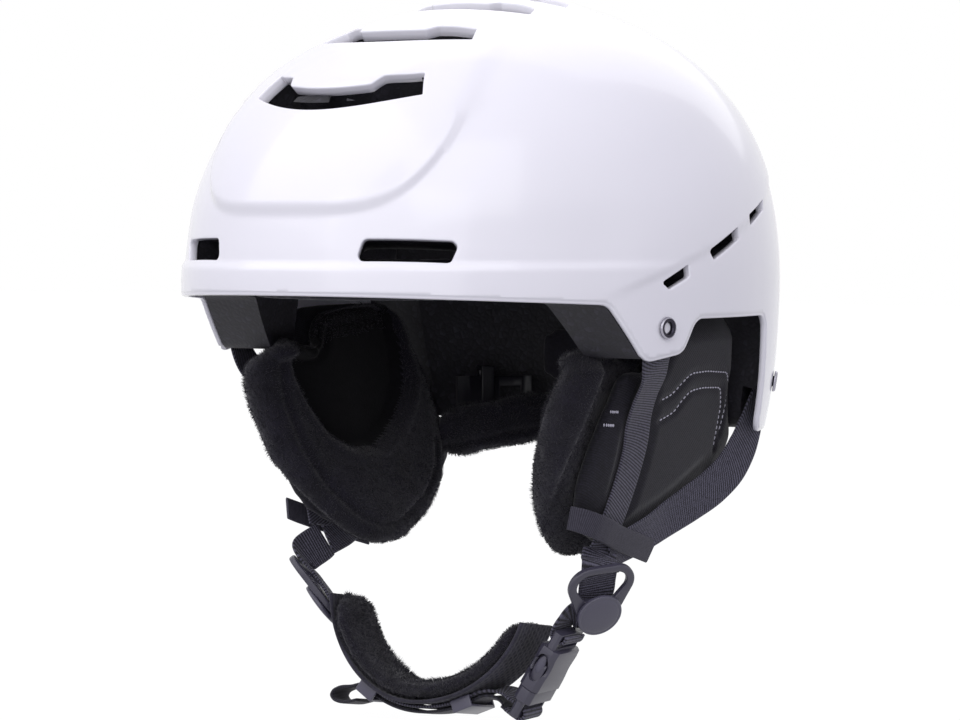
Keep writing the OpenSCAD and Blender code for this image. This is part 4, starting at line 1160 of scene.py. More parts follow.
for pad in (brow_pad, crown_pad, *side_pads, cradle_pad):
    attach(pad, "helmet")

# ---- ear pads ----
# A knitted outer cover with two dashed seams and bar tacks, and a fleece side with a rolled rim, a
# seam round it and a hollow over the ear. They are filled while flat, then bent to the cheek.

ear_cover_t, ear_fleece_t = 11.0, 14.0
fleece_face = ear_cover_t + 1
fleece_back = fleece_face + ear_fleece_t
fleece_line = smooth_line([(-17, -15), (-43, -12), (-54, -20), (-58, -42), (-54, -66), (-45, -83),
                           (-30, -98.5), (-13, -107), (6, -105), (30, -94), (46, -79), (53, -58),
                           (52, -30), (48, -8), (36, 1), (10, 1.5), (-11, -1)],
                          2, closed=True, rounds=8)
cover_line = smooth_line([(-17, -23), (-36, -24), (-39, -42), (-41, -60), (-40, -78), (-33, -92),
                          (-18, -101), (0, -102.5), (22, -98), (45, -90), (68, -77), (79, -60),
                          (60, -38), (51, -8), (38, 1.5), (10, 2.5), (-13, 1.5)],
                         2, closed=True, rounds=6)
hollow_line = smooth_line([(-36, 14), (-41, -22), (-37, -42), (-28, -58), (-15, -65.5),
                           (0.5, -65.5), (20, -55), (34, -40), (40, -20), (38, 14)],
                          2, closed=True, rounds=4)
outer_seam = smooth_line([(-8, -38.6), (-0.6, -36.4), (5.8, -30.9), (9.8, -28.2), (23, -27.8),
                          (41.5, -29), (46.5, -33), (49, -42), (50.5, -56)], 1)
inner_seam = smooth_line([(-5.3, -47), (5, -43.8), (8.2, -39.6), (12.9, -35.5), (22.6, -34.5),
                          (39, -35.1), (44.5, -43), (50, -62)], 1)
tacks = [np.array([(-38.6, -41.7), (-30.2, -42.2)]), np.array([(-39.2, -46.9), (-30.8, -47.5)])]
front_trace = smooth_line([(-27, -29)] + front_run, 3)
rear_trace = smooth_line([(45.8, -75.8), (33.5, -82.2), (21.3, -87.8), (7.5, -93.3)] + rear_run, 3)


def pillow(name, outline, deep, shallow, material, inset, voxel, swell, smooth):
    """A flat pad between two depths: x is minus the depth below the pad's outer face."""
    middle = np.array([0, -50])
    t = deep - shallow
    rows = []
    for depth, k in ((deep, 0.3), (deep, 0.72), (deep - 0.06 * t, 0.86), (deep - 0.22 * t, 0.95),
                     (deep - 0.5 * t, 0.985), (shallow + 0.22 * t, 0.95),
                     (shallow + 0.06 * t, 0.87), (shallow, 0.72), (shallow, 0.3)):
        line = middle + (grow(outline, -inset) - middle) * k
        rows.append(np.column_stack([np.full(len(line), -depth), line]))
    rows = np.stack([np.vstack([row, row[:1]]) for row in rows])
    pad = tube(rows, np.zeros(rows.shape[:2] + (2,)), name, material)
    stuffed(pad, voxel, swell, smooth)
    return pad


def flat_map(thing, points):
    """A UV map in mm from the flat pad's own plane."""
    layer = thing.data.uv_layers.new(name="cloth")
    index = np.empty(len(thing.data.loops), int)
    thing.data.loops.foreach_get("vertex_index", index)
    layer.data.foreach_set("uv", points[index][:, 1:].ravel())


def other_side(thing, name):
    """The same piece on the right."""
    bm = bmesh.new()
    bm.from_mesh(thing.data)
    for v in bm.verts:
        v.co.x = -v.co.x
        v.co = flare(np.array(v.co) / MM) * MM
    bmesh.ops.reverse_faces(bm, faces=bm.faces)
    return place_mesh(bm, name, *thing.data.materials)


def knitted(name, low, high):
    """Fine diagonal rib knit on a UV map in mm."""
    material, tree, output = new_tree(name)
    split = add(tree, "SeparateXYZ", {0: add(tree, "TexCoord", {}).outputs["UV"]})
    bands, spacing = [], 0.95
    for across, along in ((0.62, 1.0), (1.0, -0.55)):
        slant = add(tree, "Math", {0: split.outputs[0], 1: across * math.pi / spacing},
                    operation="MULTIPLY")
        slant = add(tree, "Math", {0: split.outputs[1], 1: along * math.pi / spacing,
                                   2: slant.outputs[0]}, operation="MULTIPLY_ADD")
        wave = add(tree, "Math", {0: slant.outputs[0]}, operation="COSINE")
        bands.append(add(tree, "Math", {0: wave.outputs[0]}, operation="ABSOLUTE").outputs[0])
    spot = add(tree, "TexCoord", {}).outputs["Object"]
    grain = add(tree, "TexNoise", {"Vector": spot, "Scale": 700.0, "Detail": 2.0})
    level = add(tree, "Math", {0: bands[1], 1: 0.4, 2: bands[0]}, operation="MULTIPLY_ADD")
    mixed = add(tree, "Math", {0: level.outputs[0], 1: grain.outputs[0]}, operation="MULTIPLY")
    share = add(tree, "MapRange", {"Value": mixed.outputs[0], "From Min": 0.15, "From Max": 0.85})
    tone = add(tree, "MixRGB", {0: share.outputs[0], 1: linear(low), 2: linear(high)})
    bump = add(tree, "Bump", {"Height": level.outputs[0], "Strength": 0.5, "Distance": 0.0002})
    surface = add(tree, "BsdfPrincipled", {
        "Base Color": tone.outputs[0], "Roughness": 0.8, "Sheen Weight": 0.12,
        "Sheen Roughness": 0.5,
        "Specular IOR Level": 0.25, "Normal": bump.outputs[0]})
    tree.links.new(surface.outputs[0], output.inputs["Surface"])
    return material


# knitted polyester, near black with a violet cast; fleece ground cloth, its slightly lighter
# fibres, pale sewing thread, and the smooth cloth that lines the hollow
knit = knitted("diagonal_rib_knit_polyester", "#0a0910", "#201e29")
fleece = cloth_of("sheared_fleece_ground", "#0c0a14", "#1a1725", 900.0, roughness=0.95, sheen=0.25,
                  depth=0.0006)
fibre = cloth_of("fleece_pile_fibres", "#12101a", "#2a2736", 240.0, roughness=0.9, sheen=0.2,
                 strength=0.0)
thread = moulded("twisted_polyester_thread", "#bdbbc9", "#d6d4e0", 0.6, 3000.0, 0.0001)
lining = cloth_of("brushed_lining_cloth", "#060509", "#0d0c12", 900.0, roughness=0.95, sheen=0.05,
                  depth=0.0004)

cover = pillow("left_ear_cover", cover_line, ear_cover_t, 0.4, knit,
               inset=1.5, voxel=3.6, swell=2.6, smooth=2)
p = points_of(cover)
flat_map(cover, p)
x, y, z = p.T
# the face is pressed flat under the straps, and drawn in along the seams and tacks
face_swell, back_swell, seam_deep, seam_half = 1.9, 0.3, 1.1, 1.5
front = x > -ear_cover_t / 2
strap_gap = np.minimum(line_distance(front_trace, y, z), line_distance(rear_trace, y, z))
most = face_swell * ease((strap_gap - web_w / 2 - 0.5) / 6)
x = np.where(front, np.minimum(x, most), np.maximum(x, -ear_cover_t - back_swell))
sewn = np.minimum(line_distance(outer_seam, y, z), line_distance(inner_seam, y, z))
for tack in tacks:
    sewn = np.minimum(sewn, line_distance(tack, y, z) + 0.3)
x = np.where(front, x - seam_deep * np.exp(-(sewn / seam_half) ** 2), x)
move_points(cover, np.column_stack([x + ear_x(y, z), y, z]))
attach(cover, "helmet")
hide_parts("left_ear_cover")
right_cover = other_side(cover, "right_ear_cover")
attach(right_cover, "helmet")
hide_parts("right_ear_cover")

# lock stitches: short rounded lengths of thread that sink into the cloth at both ends
tree_of_cover = BVHTree.FromObject(cover, bpy.context.evaluated_depsgraph_get())


# where the rays that find the pad's face start, in metres out from the helmet's middle
beyond_pad = 0.14


def stitches(line, pitch, long, wide, tree):
    """Thread dashes along a line on the left pad's face, as bmeshes in metres."""
    s = lengths(line)
    parts = []
    for start in np.arange(0.4, s[-1] - long, pitch):
        spots = []
        for a in (start, start + long / 2, start + long):
            y, z = (float(np.interp(a, s, line[:, k])) for k in (0, 1))
            start_at = Vector((beyond_pad, y * MM, z * MM))
            hit, normal, _, _ = tree.ray_cast(start_at, Vector((-1, 0, 0)))
            spots.append((hit, normal))
        if any(h is None for h, _ in spots):
            continue
        bm = bmesh.new()
        bmesh.ops.create_uvsphere(bm, u_segments=6, v_segments=5, radius=1)
        along = (spots[2][0] - spots[0][0]).normalized()
        out = spots[1][1].normalized()
        across = out.cross(along)
        turn = Matrix((across, out, along)).transposed().to_4x4()
        size = Matrix.Diagonal((wide / 2 * MM, wide * 0.42 * MM, long / 2 * MM, 1))
        place = Matrix.Translation(spots[1][0] + out * 0.05 * MM)
        bmesh.ops.transform(bm, matrix=place @ turn @ size, verts=bm.verts)
        parts.append(bm)
    return parts


# for each kind, in mm: the pitch along the line, the thread's length and its width
dash, tack_turn = (2.3, 1.65, 0.72), (0.55, 0.66, 1.45)
parts = []
for line in (outer_seam, inner_seam):
    parts += stitches(line, *dash, tree_of_cover)
for tack in tacks:
    parts += stitches(smooth_line(tack, 0.5, rounds=0), *tack_turn, tree_of_cover)
seams = place_mesh(joined(parts), "left_ear_stitching", thread)
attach(seams, "helmet")
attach(other_side(seams, "right_ear_stitching"), "helmet")

ear_fleece = pillow("left_ear_fleece", fleece_line, fleece_back, fleece_face, fleece,
                    inset=1.6, voxel=4.0, swell=3.0, smooth=2)
p = points_of(ear_fleece)
x, y, z = p.T
x = np.clip(x, -fleece_back - 0.8, -fleece_face + 0.2)
# share is 0 on the side at the head and 1 on the side at the cover
share = np.clip((x + fleece_back) / ear_fleece_t, 0, 1)
beyond = distance_to(cover_line, y, z)
# its front edge rolls outward round the cover
roll_out = 7.5
x = x + share * roll_out * ease((beyond + 1) / 9) * (y < 20)
edge = -distance_to(fleece_line, y, z)
back = ease((0.55 - share) / 0.3)
# a seam runs round it inside the rim, its top leans in, and the hollow has a stitched lip
seam_in, seam_deep, top_lean, hollow_deep, lip_high = 12, 1.7, 5, 8.5, 0.7
x = x + back * seam_deep * np.exp(-((edge - seam_in) / 1.7) ** 2) * ((y < 30) | (z < -60))
hollow = distance_to(hollow_line, y, z)
x = x - top_lean * ease((z + 27) / 6) * ease((-12 - y) / 6)
x = x + back * (hollow_deep * ease(-hollow / 6) - lip_high * np.exp(-((hollow - 1.6) / 1.3) ** 2))
move_points(ear_fleece, np.column_stack([x + ear_x(y, z), y, z]))
lined = (hollow < -2.5) & (share < 0.75)
ear_fleece.data.materials.append(lining)
for face in ear_fleece.data.polygons:
    face.material_index = int(all(lined[i] for i in face.vertices))
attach(ear_fleece, "helmet")
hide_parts("left_ear_fleece")
right_fleece = other_side(ear_fleece, "right_ear_fleece")
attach(right_fleece, "helmet")
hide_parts("right_ear_fleece")


def off_lining(middles):
    """Whether places on a fleece lie outside the lined hollow."""
    gap = distance_to(hollow_line, middles[:, 1], middles[:, 2])
    return (gap > -3) | (np.abs(middles[:, 0]) > 78)


ear_fibres, ear_pile = 24000, 1.0
pile(ear_fleece, ear_fibres, ear_pile, fibre, 11, wanted=off_lining)
pile(right_fleece, ear_fibres, ear_pile, fibre, 12, wanted=off_lining)

# ---- neck roll ----
# Sheared fleece sewn over foam: the roll that joins the ear pads round the nape, inside the fit
# system's arms. It sags a little towards its ends, which meet the pads.

roll_w, roll_t, roll_z, roll_sag, roll_end = 24, 12.5, dial_z - 6, 10, 79
roll_r = nape_r - seat - roll_t / 2 - 0.3
neck_roll = pad_along("neck_roll", nape(-roll_end, roll_end, 20, roll_r, roll_z, roll_sag), roll_w,
                      roll_t, fleece, 4, swell=2.0, smooth=2, round_end=14, step=3)
# the seam along its inner side
p = points_of(neck_roll)
spread = np.arctan2(p[:, 0], p[:, 1] - nape_y)
radius = np.hypot(p[:, 0], p[:, 1] - nape_y)
middle = roll_z - roll_sag * np.sin(spread) ** 2
dip = 1.4 * np.exp(-((p[:, 2] - middle + 5) / 1.6) ** 2) * (radius < roll_r)
away = np.column_stack([np.sin(spread), np.cos(spread), np.zeros(len(p))])
move_points(neck_roll, p + away * dip[:, None])
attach(neck_roll, "helmet")
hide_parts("neck_roll")
pile(neck_roll, 17000, 1.2, fibre, 13)

# ---- straps over the ear pads ----
# Ribbed polyester webbing from the rivets: the front strap goes straight down, the rear one crosses
# over it, and a smooth elastic band at the foot of the pad holds the crossing down.

# the pale rib colour of these bands is a painted highlight on the rib tops, and their dark gaps are
# painted shade
ribbed_webbing = woven("ribbed_polyester_webbing", "#0f0d16", "#615f6f", 0.00025)
plain_webbing = woven("tight_woven_polyester_tape", "#14131b", "#2c2a36", 0.00015)
elastic_band = woven("smooth_knitted_elastic", "#23212c", "#45434f", 0.00012, across=0.6)

rib_slant = -28
elastic_w, elastic_t = 10, 1.2
band_off = 2 * web_t + 3 * seat + 1
band_stations = [(on_ear(-38.5, -84, -5), unit((0.6, -1, -0.3))),
                 (on_ear(-36.5, -85.2, 0), unit((1, -0.7, -0.3))),
                 (on_ear(-31, -87.5, 3.8), unit((1, -0.3, -0.3)))]
band_stations += ear_stations([(-25.2, -89.5), (-14.6, -93.2), (-2.5, -96.6), (14, -101)], band_off)
for side_name, flip in (("left", lambda s: s), ("right", mirrored)):
    strap = webbing(side_name + "_front_strap", flip(front_stations), web_w, web_t,
                    ribbed_webbing, rib_slant)
    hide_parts(side_name + "_front_strap")
    strap = webbing(side_name + "_rear_strap", flip(rear_stations), web_w, web_t,
                    ribbed_webbing, rib_slant)
    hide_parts(side_name + "_rear_strap")
    # the left band starts round the pad's front edge, and the right one just behind that edge
    band = webbing(side_name + "_strap_keeper",
                   flip(band_stations[0 if side_name == "left" else 2:]),
                   elastic_w, elastic_t, elastic_band, pitch=0.8, rib=0.04, hem=1.0)
    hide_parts(side_name + "_strap_keeper")


# ---- rivets ----
# Hollow rivets of dark nickel chrome with a rolled bright rim, a near-black disc down in each bore
# as painted shade, and zinc washers behind the webbing.

dark_chrome = moulded("dark_nickel_chrome_plating", "#2c2a33", "#3b3944", 0.2, 1800.0, 0.00003,
                      metallic=1.0)
bright_chrome = moulded("polished_nickel_plating", "#908e99", "#a6a4af", 0.14, 1800.0, 0.00003,
                        metallic=1.0)
zinc = moulded("barrel_plated_zinc", "#8f9096", "#a4a5ab", 0.45, 900.0, 0.00006, metallic=1.0)
rivet_r = 4.3
# profiles as (radius, height above the shell): the bore, the rolled head, and down the shank
rivet_profile = [(0, -3.2), (0.9, -3), (1.5, -2.2), (1.9, -0.6), (2.2, 0.5), (2.45, 1.2),
                 (2.8, 1.48), (3.2, 1.56), (3.6, 1.5), (3.95, 1.28), (4.18, 0.95), (rivet_r, 0.6),
                 (4.22, 0.38), (4.0, seat), (2.2, seat), (2.2, -7.4), (0, -7.4)]
rim_profile = [(3.7, 1.46), (3.85, 1.56), (4.0, 1.46), (4.17, 1.22), (4.31, 0.9), (4.36, 0.6),
               (4.26, 0.4), (3.95, 0.5), (3.7, 1.46)]
# a near-black disc sunk in each rivet's bore: painted shade, so that the hollow reads dark
bore_shade_profile = [(0, -0.5), (1.95, -0.5), (1.95, -0.9), (0, -0.9)]
bore_shade = moulded("painted_bore_shade", "#070709", "#0e0e12", 0.6, 1800.0, 0.00003, level=0.15)
bodies, rims, bore_shades = [], [], []
for s in (-1, 1):
    for place in (front_rivet, rear_rivet):
        spot = place * (s, 1, 1)
        out = outward(spot)
        for profile, parts in ((rivet_profile, bodies), (rim_profile, rims), (bore_shade_profile, bore_shades)):
            bm = turned(profile)
            bmesh.ops.transform(bm, matrix=seat_at(spot, np.cross((0, 0, 1), out), out),
                                verts=bm.verts)
            parts.append(bm)
rivets = place_mesh(joined(bodies), "strap_rivets", dark_chrome)
rims = place_mesh(joined(rims), "strap_rivet_rims", bright_chrome)
bore_shades = place_mesh(joined(bore_shades), "strap_rivet_bore_shade", bore_shade)
for thing in (rivets, rims, bore_shades):
    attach(thing, "helmet")
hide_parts("strap_rivets")


# the washers, and the stud that the goggle keeper snaps to, keep their shape
for node in ("rivet_washers", "snap_stud"):
    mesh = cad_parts[node].data
    mesh.materials.clear()
    mesh.materials.append(zinc)

# ---- strap rings and discs ----
# Satin moulded acetal: an open ring that the webbing passes through, and a bare domed disc at
# its foot.

acetal = moulded("satin_moulded_acetal", "#3c3a48", "#454351", 0.36, 1500.0, 0.00006)
disc_acetal = moulded("satin_moulded_acetal_disc", "#4b4958", "#545262", 0.34, 1500.0, 0.00005)
# how each ring hangs: its middle, the way its face looks, and the way up
left_hang = ((70.2, -21.7, -114.7), (0.75, -0.42, -0.51), (0.376, -0.363, 0.853))
right_hang = ((-64, -33.7, -118), (-0.63, -0.47, -0.61), (-0.69, -0.02, 0.73))
ring_t, disc_d, ring_corner, disc_drop = 2.8, 19.0, 7.5, -9.5
ring_back = -ring_t / 2 - web_t / 2 - seat
ring_free = ring_back - 0.8


def ring_axes(hang):
    """A ring's directions across, up and out of its face."""
    n = unit(hang[1])
    u = unit(np.cross(hang[2], n))
    return u, np.cross(n, u), n


def in_ring(hang, u, v, n):
    """Point u mm across, v mm up and n mm out from a ring's middle."""
    a, b, c = ring_axes(hang)
    return np.array(hang[0]) + a * u + b * v + c * n


def arcs(parts):
    """Outline through arcs given as (middle x, middle y, radius, first and last angle, points)."""
    points = []
    for x, y, r, a, b, n in parts:
        for t in np.radians(np.linspace(a, b, n)):
            points.append((x + r * math.cos(t), y + r * math.sin(t)))
    return np.array(points)


def frame_body(outer, inner, t, bevel):
    """Rows of points of a flat frame between two matching outlines, its long edges rounded."""
    rows = []
    for a, b in zip(outer, inner):
        inward = unit(b - a)
        gap = float(np.linalg.norm(b - a))
        row = []
        for along, height in ((0, 1), (0, -1), (1, -1), (1, 1)):
            middle = (bevel if along == 0 else gap - bevel, height * (t / 2 - bevel))
            start = {(0, 1): 90, (0, -1): 180, (1, -1): 270, (1, 1): 0}[(along, height)]
            for k in range(5):
                w = math.radians(start + 90 * k / 4)
                q = a + inward * (middle[0] + bevel * math.cos(w))
                row.append((q[0], q[1], middle[1] + bevel * math.sin(w)))
        rows.append(row + row[:1])
    return np.array(rows + rows[:1])


ring_outer = arcs(((5.6, 4.3, 8.6, -25, 90, 14), (-5.6, 4.3, 8.6, 90, 205, 14),
                   (0, disc_drop, 8.5, 205, 335, 22)))
ring_inner = arcs(((5.4, 4.5, 5.4, -25, 90, 14), (-5.4, 4.5, 5.4, 90, 205, 14),
                   (0, -1.9, 6.9, 197, 343, 22)))
# below its two upper arcs the opening ends in a straight bar above the disc
ring_inner[2 * 14:, 1] = np.maximum(ring_inner[2 * 14:, 1], -3)
disc_r = disc_d / 2
disc_profile = [(0, 0), (disc_r - 0.3, 0), (disc_r, 0.3), (disc_r, 1.3), (disc_r - 0.12, 1.62),
                (disc_r - 0.42, 1.84), (disc_r - 0.8, 1.9), (disc_r - 1.1, 1.8),
                (disc_r - 1.35, 1.78), (disc_r - 1.7, 1.98), (disc_r - 2.2, 2.1),
                (disc_r - 4, 2.3), (disc_r - 6, 2.42), (disc_r - 8, 2.5), (0, 2.52)]
for name, hang in (("left", left_hang), ("right", right_hang)):
    rows = frame_body(ring_outer, ring_inner, ring_t, 0.8)
    u, v, n = ring_axes(hang)
    rows = np.array(hang[0]) + rows[..., :1] * u + rows[..., 1:2] * v + rows[..., 2:] * n
    ring = tube(rows, np.zeros(rows.shape[:2] + (2,)), name + "_ring", acetal)
    bm = bmesh.new()
    bm.from_mesh(ring.data)
    bmesh.ops.delete(bm, geom=[f for f in bm.faces if len(f.verts) > 4], context="FACES")
    bmesh.ops.remove_doubles(bm, verts=bm.verts, dist=1e-6)
    bmesh.ops.recalc_face_normals(bm, faces=bm.faces)
    bm.to_mesh(ring.data)
    bm.free()
    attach(ring, "helmet")
    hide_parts(name + "_ring")
    bm = turned(disc_profile, 72)
    seat_of_disc = in_ring(hang, 0, disc_drop, ring_t / 2 + 0.1)
    bmesh.ops.transform(bm, matrix=seat_at(seat_of_disc, u, n), verts=bm.verts)
    disc = place_mesh(bm, name + "_ring_disc", disc_acetal)
    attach(disc, "helmet")
    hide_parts(name + "_ring_disc")

# ---- side-release buckle ----
# Satin acetal: socket with a webbing bar and two oval windows, and a plug whose two prong heads
# show in the windows. The socket is waisted where the fingers hold it.

buckle_o = np.array([48.5, -24.6, -145.1])
buckle_x = unit([-0.515, -0.05, -0.855])
buckle_n = unit(np.cross([0.1, -1, 0], buckle_x))
buckle_y = np.cross(buckle_n, buckle_x)
socket_l, frame_l, frame_t, bar_l, grip_l = 19.0, 7.2, 4.0, 2.6, 6.0
plug_bar = socket_l / 2 + seat + grip_l + frame_l - bar_l / 2
socket_bar = -socket_l / 2 - frame_l + bar_l / 2
wrap_r = web_t / 2 + 0.45
wrap_x = bar_l / 2 + wrap_r
cut_n = frame_t / 2 + 3.2


def in_buckle(x, n):
    """Point x mm along the buckle from the socket's middle, and n mm out from it."""
    return buckle_o + buckle_x * x + buckle_n * n


def from_cad(node, name, bevel, material, shape=None, cuts=(), body="helmet", segments=3):
    """A moulded piece: its solid welded, flat faces joined, shaped, and its edges rounded."""
    bm = bmesh.new()
    bm.from_mesh(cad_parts[node].data)
    bmesh.ops.remove_doubles(bm, verts=bm.verts, dist=1e-6)
    bmesh.ops.dissolve_limit(bm, angle_limit=math.radians(1), verts=bm.verts, edges=bm.edges)
    for point, normal in cuts:
        bmesh.ops.bisect_plane(bm, geom=bm.verts[:] + bm.edges[:] + bm.faces[:], plane_co=point,
                               plane_no=normal)
    if shape:
        shape(bm)
    thing = place_mesh(bm, name, material)
    if bevel:
        change = thing.modifiers.new("round", "BEVEL")
        change.width = bevel * MM
        change.segments = segments
        change.limit_method = "ANGLE"
        change.angle_limit = math.radians(32)
        change.use_clamp_overlap = True
        settle(thing)
    thing.data.shade_smooth()
    thing.data.set_sharp_from_angle(angle=math.radians(32))
    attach(thing, body)
    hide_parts(node)
    return thing


def waist(bm):
    """Narrows the socket's side walls at the middle of its length, and towards its bar."""
    for v in bm.verts:
        p = np.array(v.co) / MM - buckle_o
        x, y, n = p @ buckle_x, p @ buckle_y, p @ buckle_n
        if abs(y) > 8.6:
            narrower = 1.1 * math.exp(-((x + 1) / 4.2) ** 2) + 0.7 * float(ease((-x - 6) / 4))
            y -= math.copysign(narrower, y)
        v.co = Vector((buckle_o + buckle_x * x + buckle_y * y + buckle_n * n) * MM)


slices = [(Vector((buckle_o + buckle_x * x) * MM), Vector(buckle_x))
          for x in (-8, -6.3, -5, -3.6, -2.3, -1, 0.3, 1.6, 3, 5)]
socket = from_cad("buckle_socket", "buckle_socket", 0.55, acetal, waist, slices)
from_cad("buckle_plug", "buckle_plug", 0.5, acetal, body="buckle_plug")

# the finger windows are wide ovals through both side walls, with the prongs' lens-shaped heads in
# them; sizes are half lengths and half heights in mm
window_half, head_half = (6.2, 3.3), (4.3, 1.9)
turn = np.linspace(0, 2 * math.pi, 41)[:-1]
windows, parts = [], []
for s in (-1, 1):
    oval = [in_buckle(-0.5 + window_half[0] * math.cos(w), window_half[1] * math.sin(w))
            + buckle_y * s * 8.2 for w in turn]
    windows.append(prism(np.array(oval), np.array(oval) + buckle_y * s * 6))
    bm = bmesh.new()
    bmesh.ops.create_uvsphere(bm, u_segments=32, v_segments=16, radius=1)
    for v in bm.verts:
        p = np.array(v.co)
        w = in_buckle(-1.6 + head_half[0] * p[0], -0.4 + head_half[1] * p[2])
        v.co = Vector((w + buckle_y * s * (8.55 + 0.8 * p[1])) * MM)
    bmesh.ops.recalc_face_normals(bm, faces=bm.faces)
    parts.append(bm)
cut(socket, windows)
socket.data.shade_smooth()
socket.data.set_sharp_from_angle(angle=math.radians(32))
heads = place_mesh(joined(parts), "buckle_prong_heads", disc_acetal)
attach(heads, "buckle_plug")

# ---- lower webbing ----
# From the crossing down behind each ring's upper bar; on the left it goes on behind the disc and
# round the socket's bar.


def lower_lead(hang, side):
    """Stations from the crossing to just below a ring's upper bar."""
    bar = in_ring(hang, 0, ring_corner + 3, ring_back)
    if side < 0:
        lead = mirrored([(on_ear(-18.5, -101, web_off), ear_out(-18, -100))])
        lead.append((bar, ring_axes(hang)[2]))
    else:
        foot = on_ear(-18, -99.5, web_off)
        lead = [(on_ear(-17.5, -94, web_off), ear_out(-18, -94)), (foot, (0.85, -0.22, 0.48)),
                ((foot + bar) / 2, (0.36, -0.21, 0.81)), (bar, (0.77, -0.54, 0.26))]
    return lead + [(in_ring(hang, 0, 3, ring_free), ring_axes(hang)[2])]


n = ring_axes(left_hang)[2]
under = -frame_t / 2 - wrap_r
turn = [(buckle_n, 0, under), (unit(buckle_n - buckle_x), 0.7, -frame_t / 2 - wrap_r * 0.7),
        (-buckle_x, 1, 0),
        (unit(-buckle_n - buckle_x), 0.7, frame_t / 2 + wrap_r * 0.7), (-buckle_n, 0, -under)]
stations = lower_lead(left_hang, 1) + [
    (in_ring(left_hang, 0, -3, ring_free), n), (in_ring(left_hang, -3, -11, ring_free - 0.5), n),
    (in_buckle(socket_bar - 5, under - 0.3), buckle_n)] + [
    (in_buckle(socket_bar + bar_l / 2 + wrap_r * k, level), face) for face, k, level in turn] + [
    (in_buckle(socket_bar - 1, -under), -buckle_n)]
strap = webbing("left_lower_strap", stations, web_w, web_t, ribbed_webbing)
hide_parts("left_lower_strap")
stations = lower_lead(right_hang, -1)
stations.append((in_ring(right_hang, 0, 1, ring_free), ring_axes(right_hang)[2]))
strap = webbing("right_lower_strap", stations, web_w, web_t, ribbed_webbing)
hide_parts("right_lower_strap")

# the webbing round the plug's end bar moves with the plug
stations = [(in_buckle(plug_bar + wrap_x, -cut_n), buckle_x)]
for a in (-90, -45, 0, 45, 90):
    w = math.radians(a)
    for k in ((-1, 1) if a == 0 else (np.sign(a),)):
        spot = in_buckle(plug_bar - (k * bar_l / 2 + wrap_r * math.sin(w)),
                         (frame_t / 2 + wrap_r) * math.cos(w))
        stations.append((spot, buckle_n * math.cos(w) - buckle_x * math.sin(w)))
stations.append((in_buckle(plug_bar - wrap_x, -cut_n), -buckle_x))
strap = webbing("plug_webbing", stations, web_w - 1, web_t, ribbed_webbing, body="buckle_plug")
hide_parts("plug_webbing")

# ---- chin strap and chin pad ----
# Webbing on an elliptical arc, its free end doubled back to a folded pull loop, two moulded keepers
# over both, and a fleece pad on a dimpled spacer-mesh band.

chin_o = np.array([-6.4, -28, -116])
chin_across = unit([1, 0.1, 0])
chin_side = unit(np.cross([0, -0.15, -1], chin_across))
chin_down = np.cross(chin_across, chin_side)
chin_rz, pad_far, pad_near, base_t, chin_t, chin_w = 49.3, -84, 75, 1.6, 6.5, 32.0
base_off = web_t / 2 + seat + base_t / 2


def chin_rx(a):
    """Half width of the chin strap's arc, wider on the buckle's side."""
    return 52.5 if a > 0 else 43.0


def chin(a, off):
    """Point off mm outside the chin strap's arc at an angle from its lowest place."""
    rx = chin_rx(a)
    a = math.radians(a)
    return (chin_o + chin_across * (rx + off) * math.sin(a)
            + chin_down * (chin_rz + off) * math.cos(a))


def chin_out(a):
    """Outward direction of the chin strap's arc."""
    rx = chin_rx(a)
    a = math.radians(a)
    return unit(chin_across * math.sin(a) / rx + chin_down * math.cos(a) / chin_rz)


def chin_stations(a1, a2, n, off):
    return [(chin(a, off), chin_out(a)) for a in np.linspace(a1, a2, n + 1)]


n = ring_axes(right_hang)[2]
stations = [(in_ring(right_hang, 0, v, ring_free if v > disc_drop else ring_back), n)
            for v in (0, -6, disc_drop - 4, -20)]
stations += chin_stations(-64, 31, 18, 0)
stations += [(in_buckle(plug_bar - wrap_x, -cut_n - k), buckle_x) for k in (3, seat)]
strap = webbing("chin_strap", stations, web_w, web_t, ribbed_webbing)
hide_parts("chin_strap")

tail_off, loop_r = web_t + 0.6, 3.2
tip = chin(-35, tail_off)
back = unit(0.1 * chin_down - chin_across)
down = unit(chin_down + 0.1 * chin_across)
stations = [(in_buckle(plug_bar + wrap_x, -cut_n - k), buckle_x) for k in (seat, 3)]
stations += chin_stations(31, -35, 14, tail_off)
stations.append((tip + back * 6 + down * 0.4, down))
for a in np.radians(np.arange(30, 181, 30)):
    stations.append((tip + back * (9 + 6.5 * math.sin(a))
                     + down * (0.4 + loop_r - loop_r * math.cos(a)),
                     down * math.cos(a) - back * math.sin(a)))
stations.append((tip + back * 3.5 + down * 1.9 * loop_r, -down))
strap = webbing("chin_tail", stations, web_w - 2, web_t, plain_webbing, pitch=1.1, rib=0.08)
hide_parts("chin_tail")

from_cad("chin_keepers", "chin_keepers", 0.45, disc_acetal)

# spacer mesh: rows of soft dimples, offset from row to row
base_w = chin_w - 5
dimple_across, dimple_along, dimple_r, dimple_deep = 2.4, 2.8, 0.95, 0.42
base_path = chin_stations(pad_far + 1, pad_near - 1, 22, -base_off)
place, side, out, at = path_frames(base_path, 0.55)
section = flat_section(base_w, base_t, 46)
u, v = section[:, 0], section[:, 1]
row = np.floor(u / dimple_across)
near = np.hypot((u / dimple_across - row - 0.5) * dimple_across,
                ((at[:, None] / dimple_along + 0.5 * row[None]) % 1 - 0.5) * dimple_along)
dimples = dimple_deep * np.exp(-(near / dimple_r) ** 2) * ease((12.4 - np.abs(u)) / 1.5)[None]
height = v[None] - np.sign(v)[None] * dimples
points = place[:, None] + side[:, None] * u[None, :, None] + out[:, None] * height[..., None]
spacer = cloth_of("dimpled_spacer_mesh", "#1b1923", "#3a3845", 1500.0, roughness=0.8)
base = tube(points, np.stack(np.broadcast_arrays(u[None], at[:, None]), -1), "chin_pad_base",
            spacer)
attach(base, "helmet")
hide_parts("chin_pad_base")

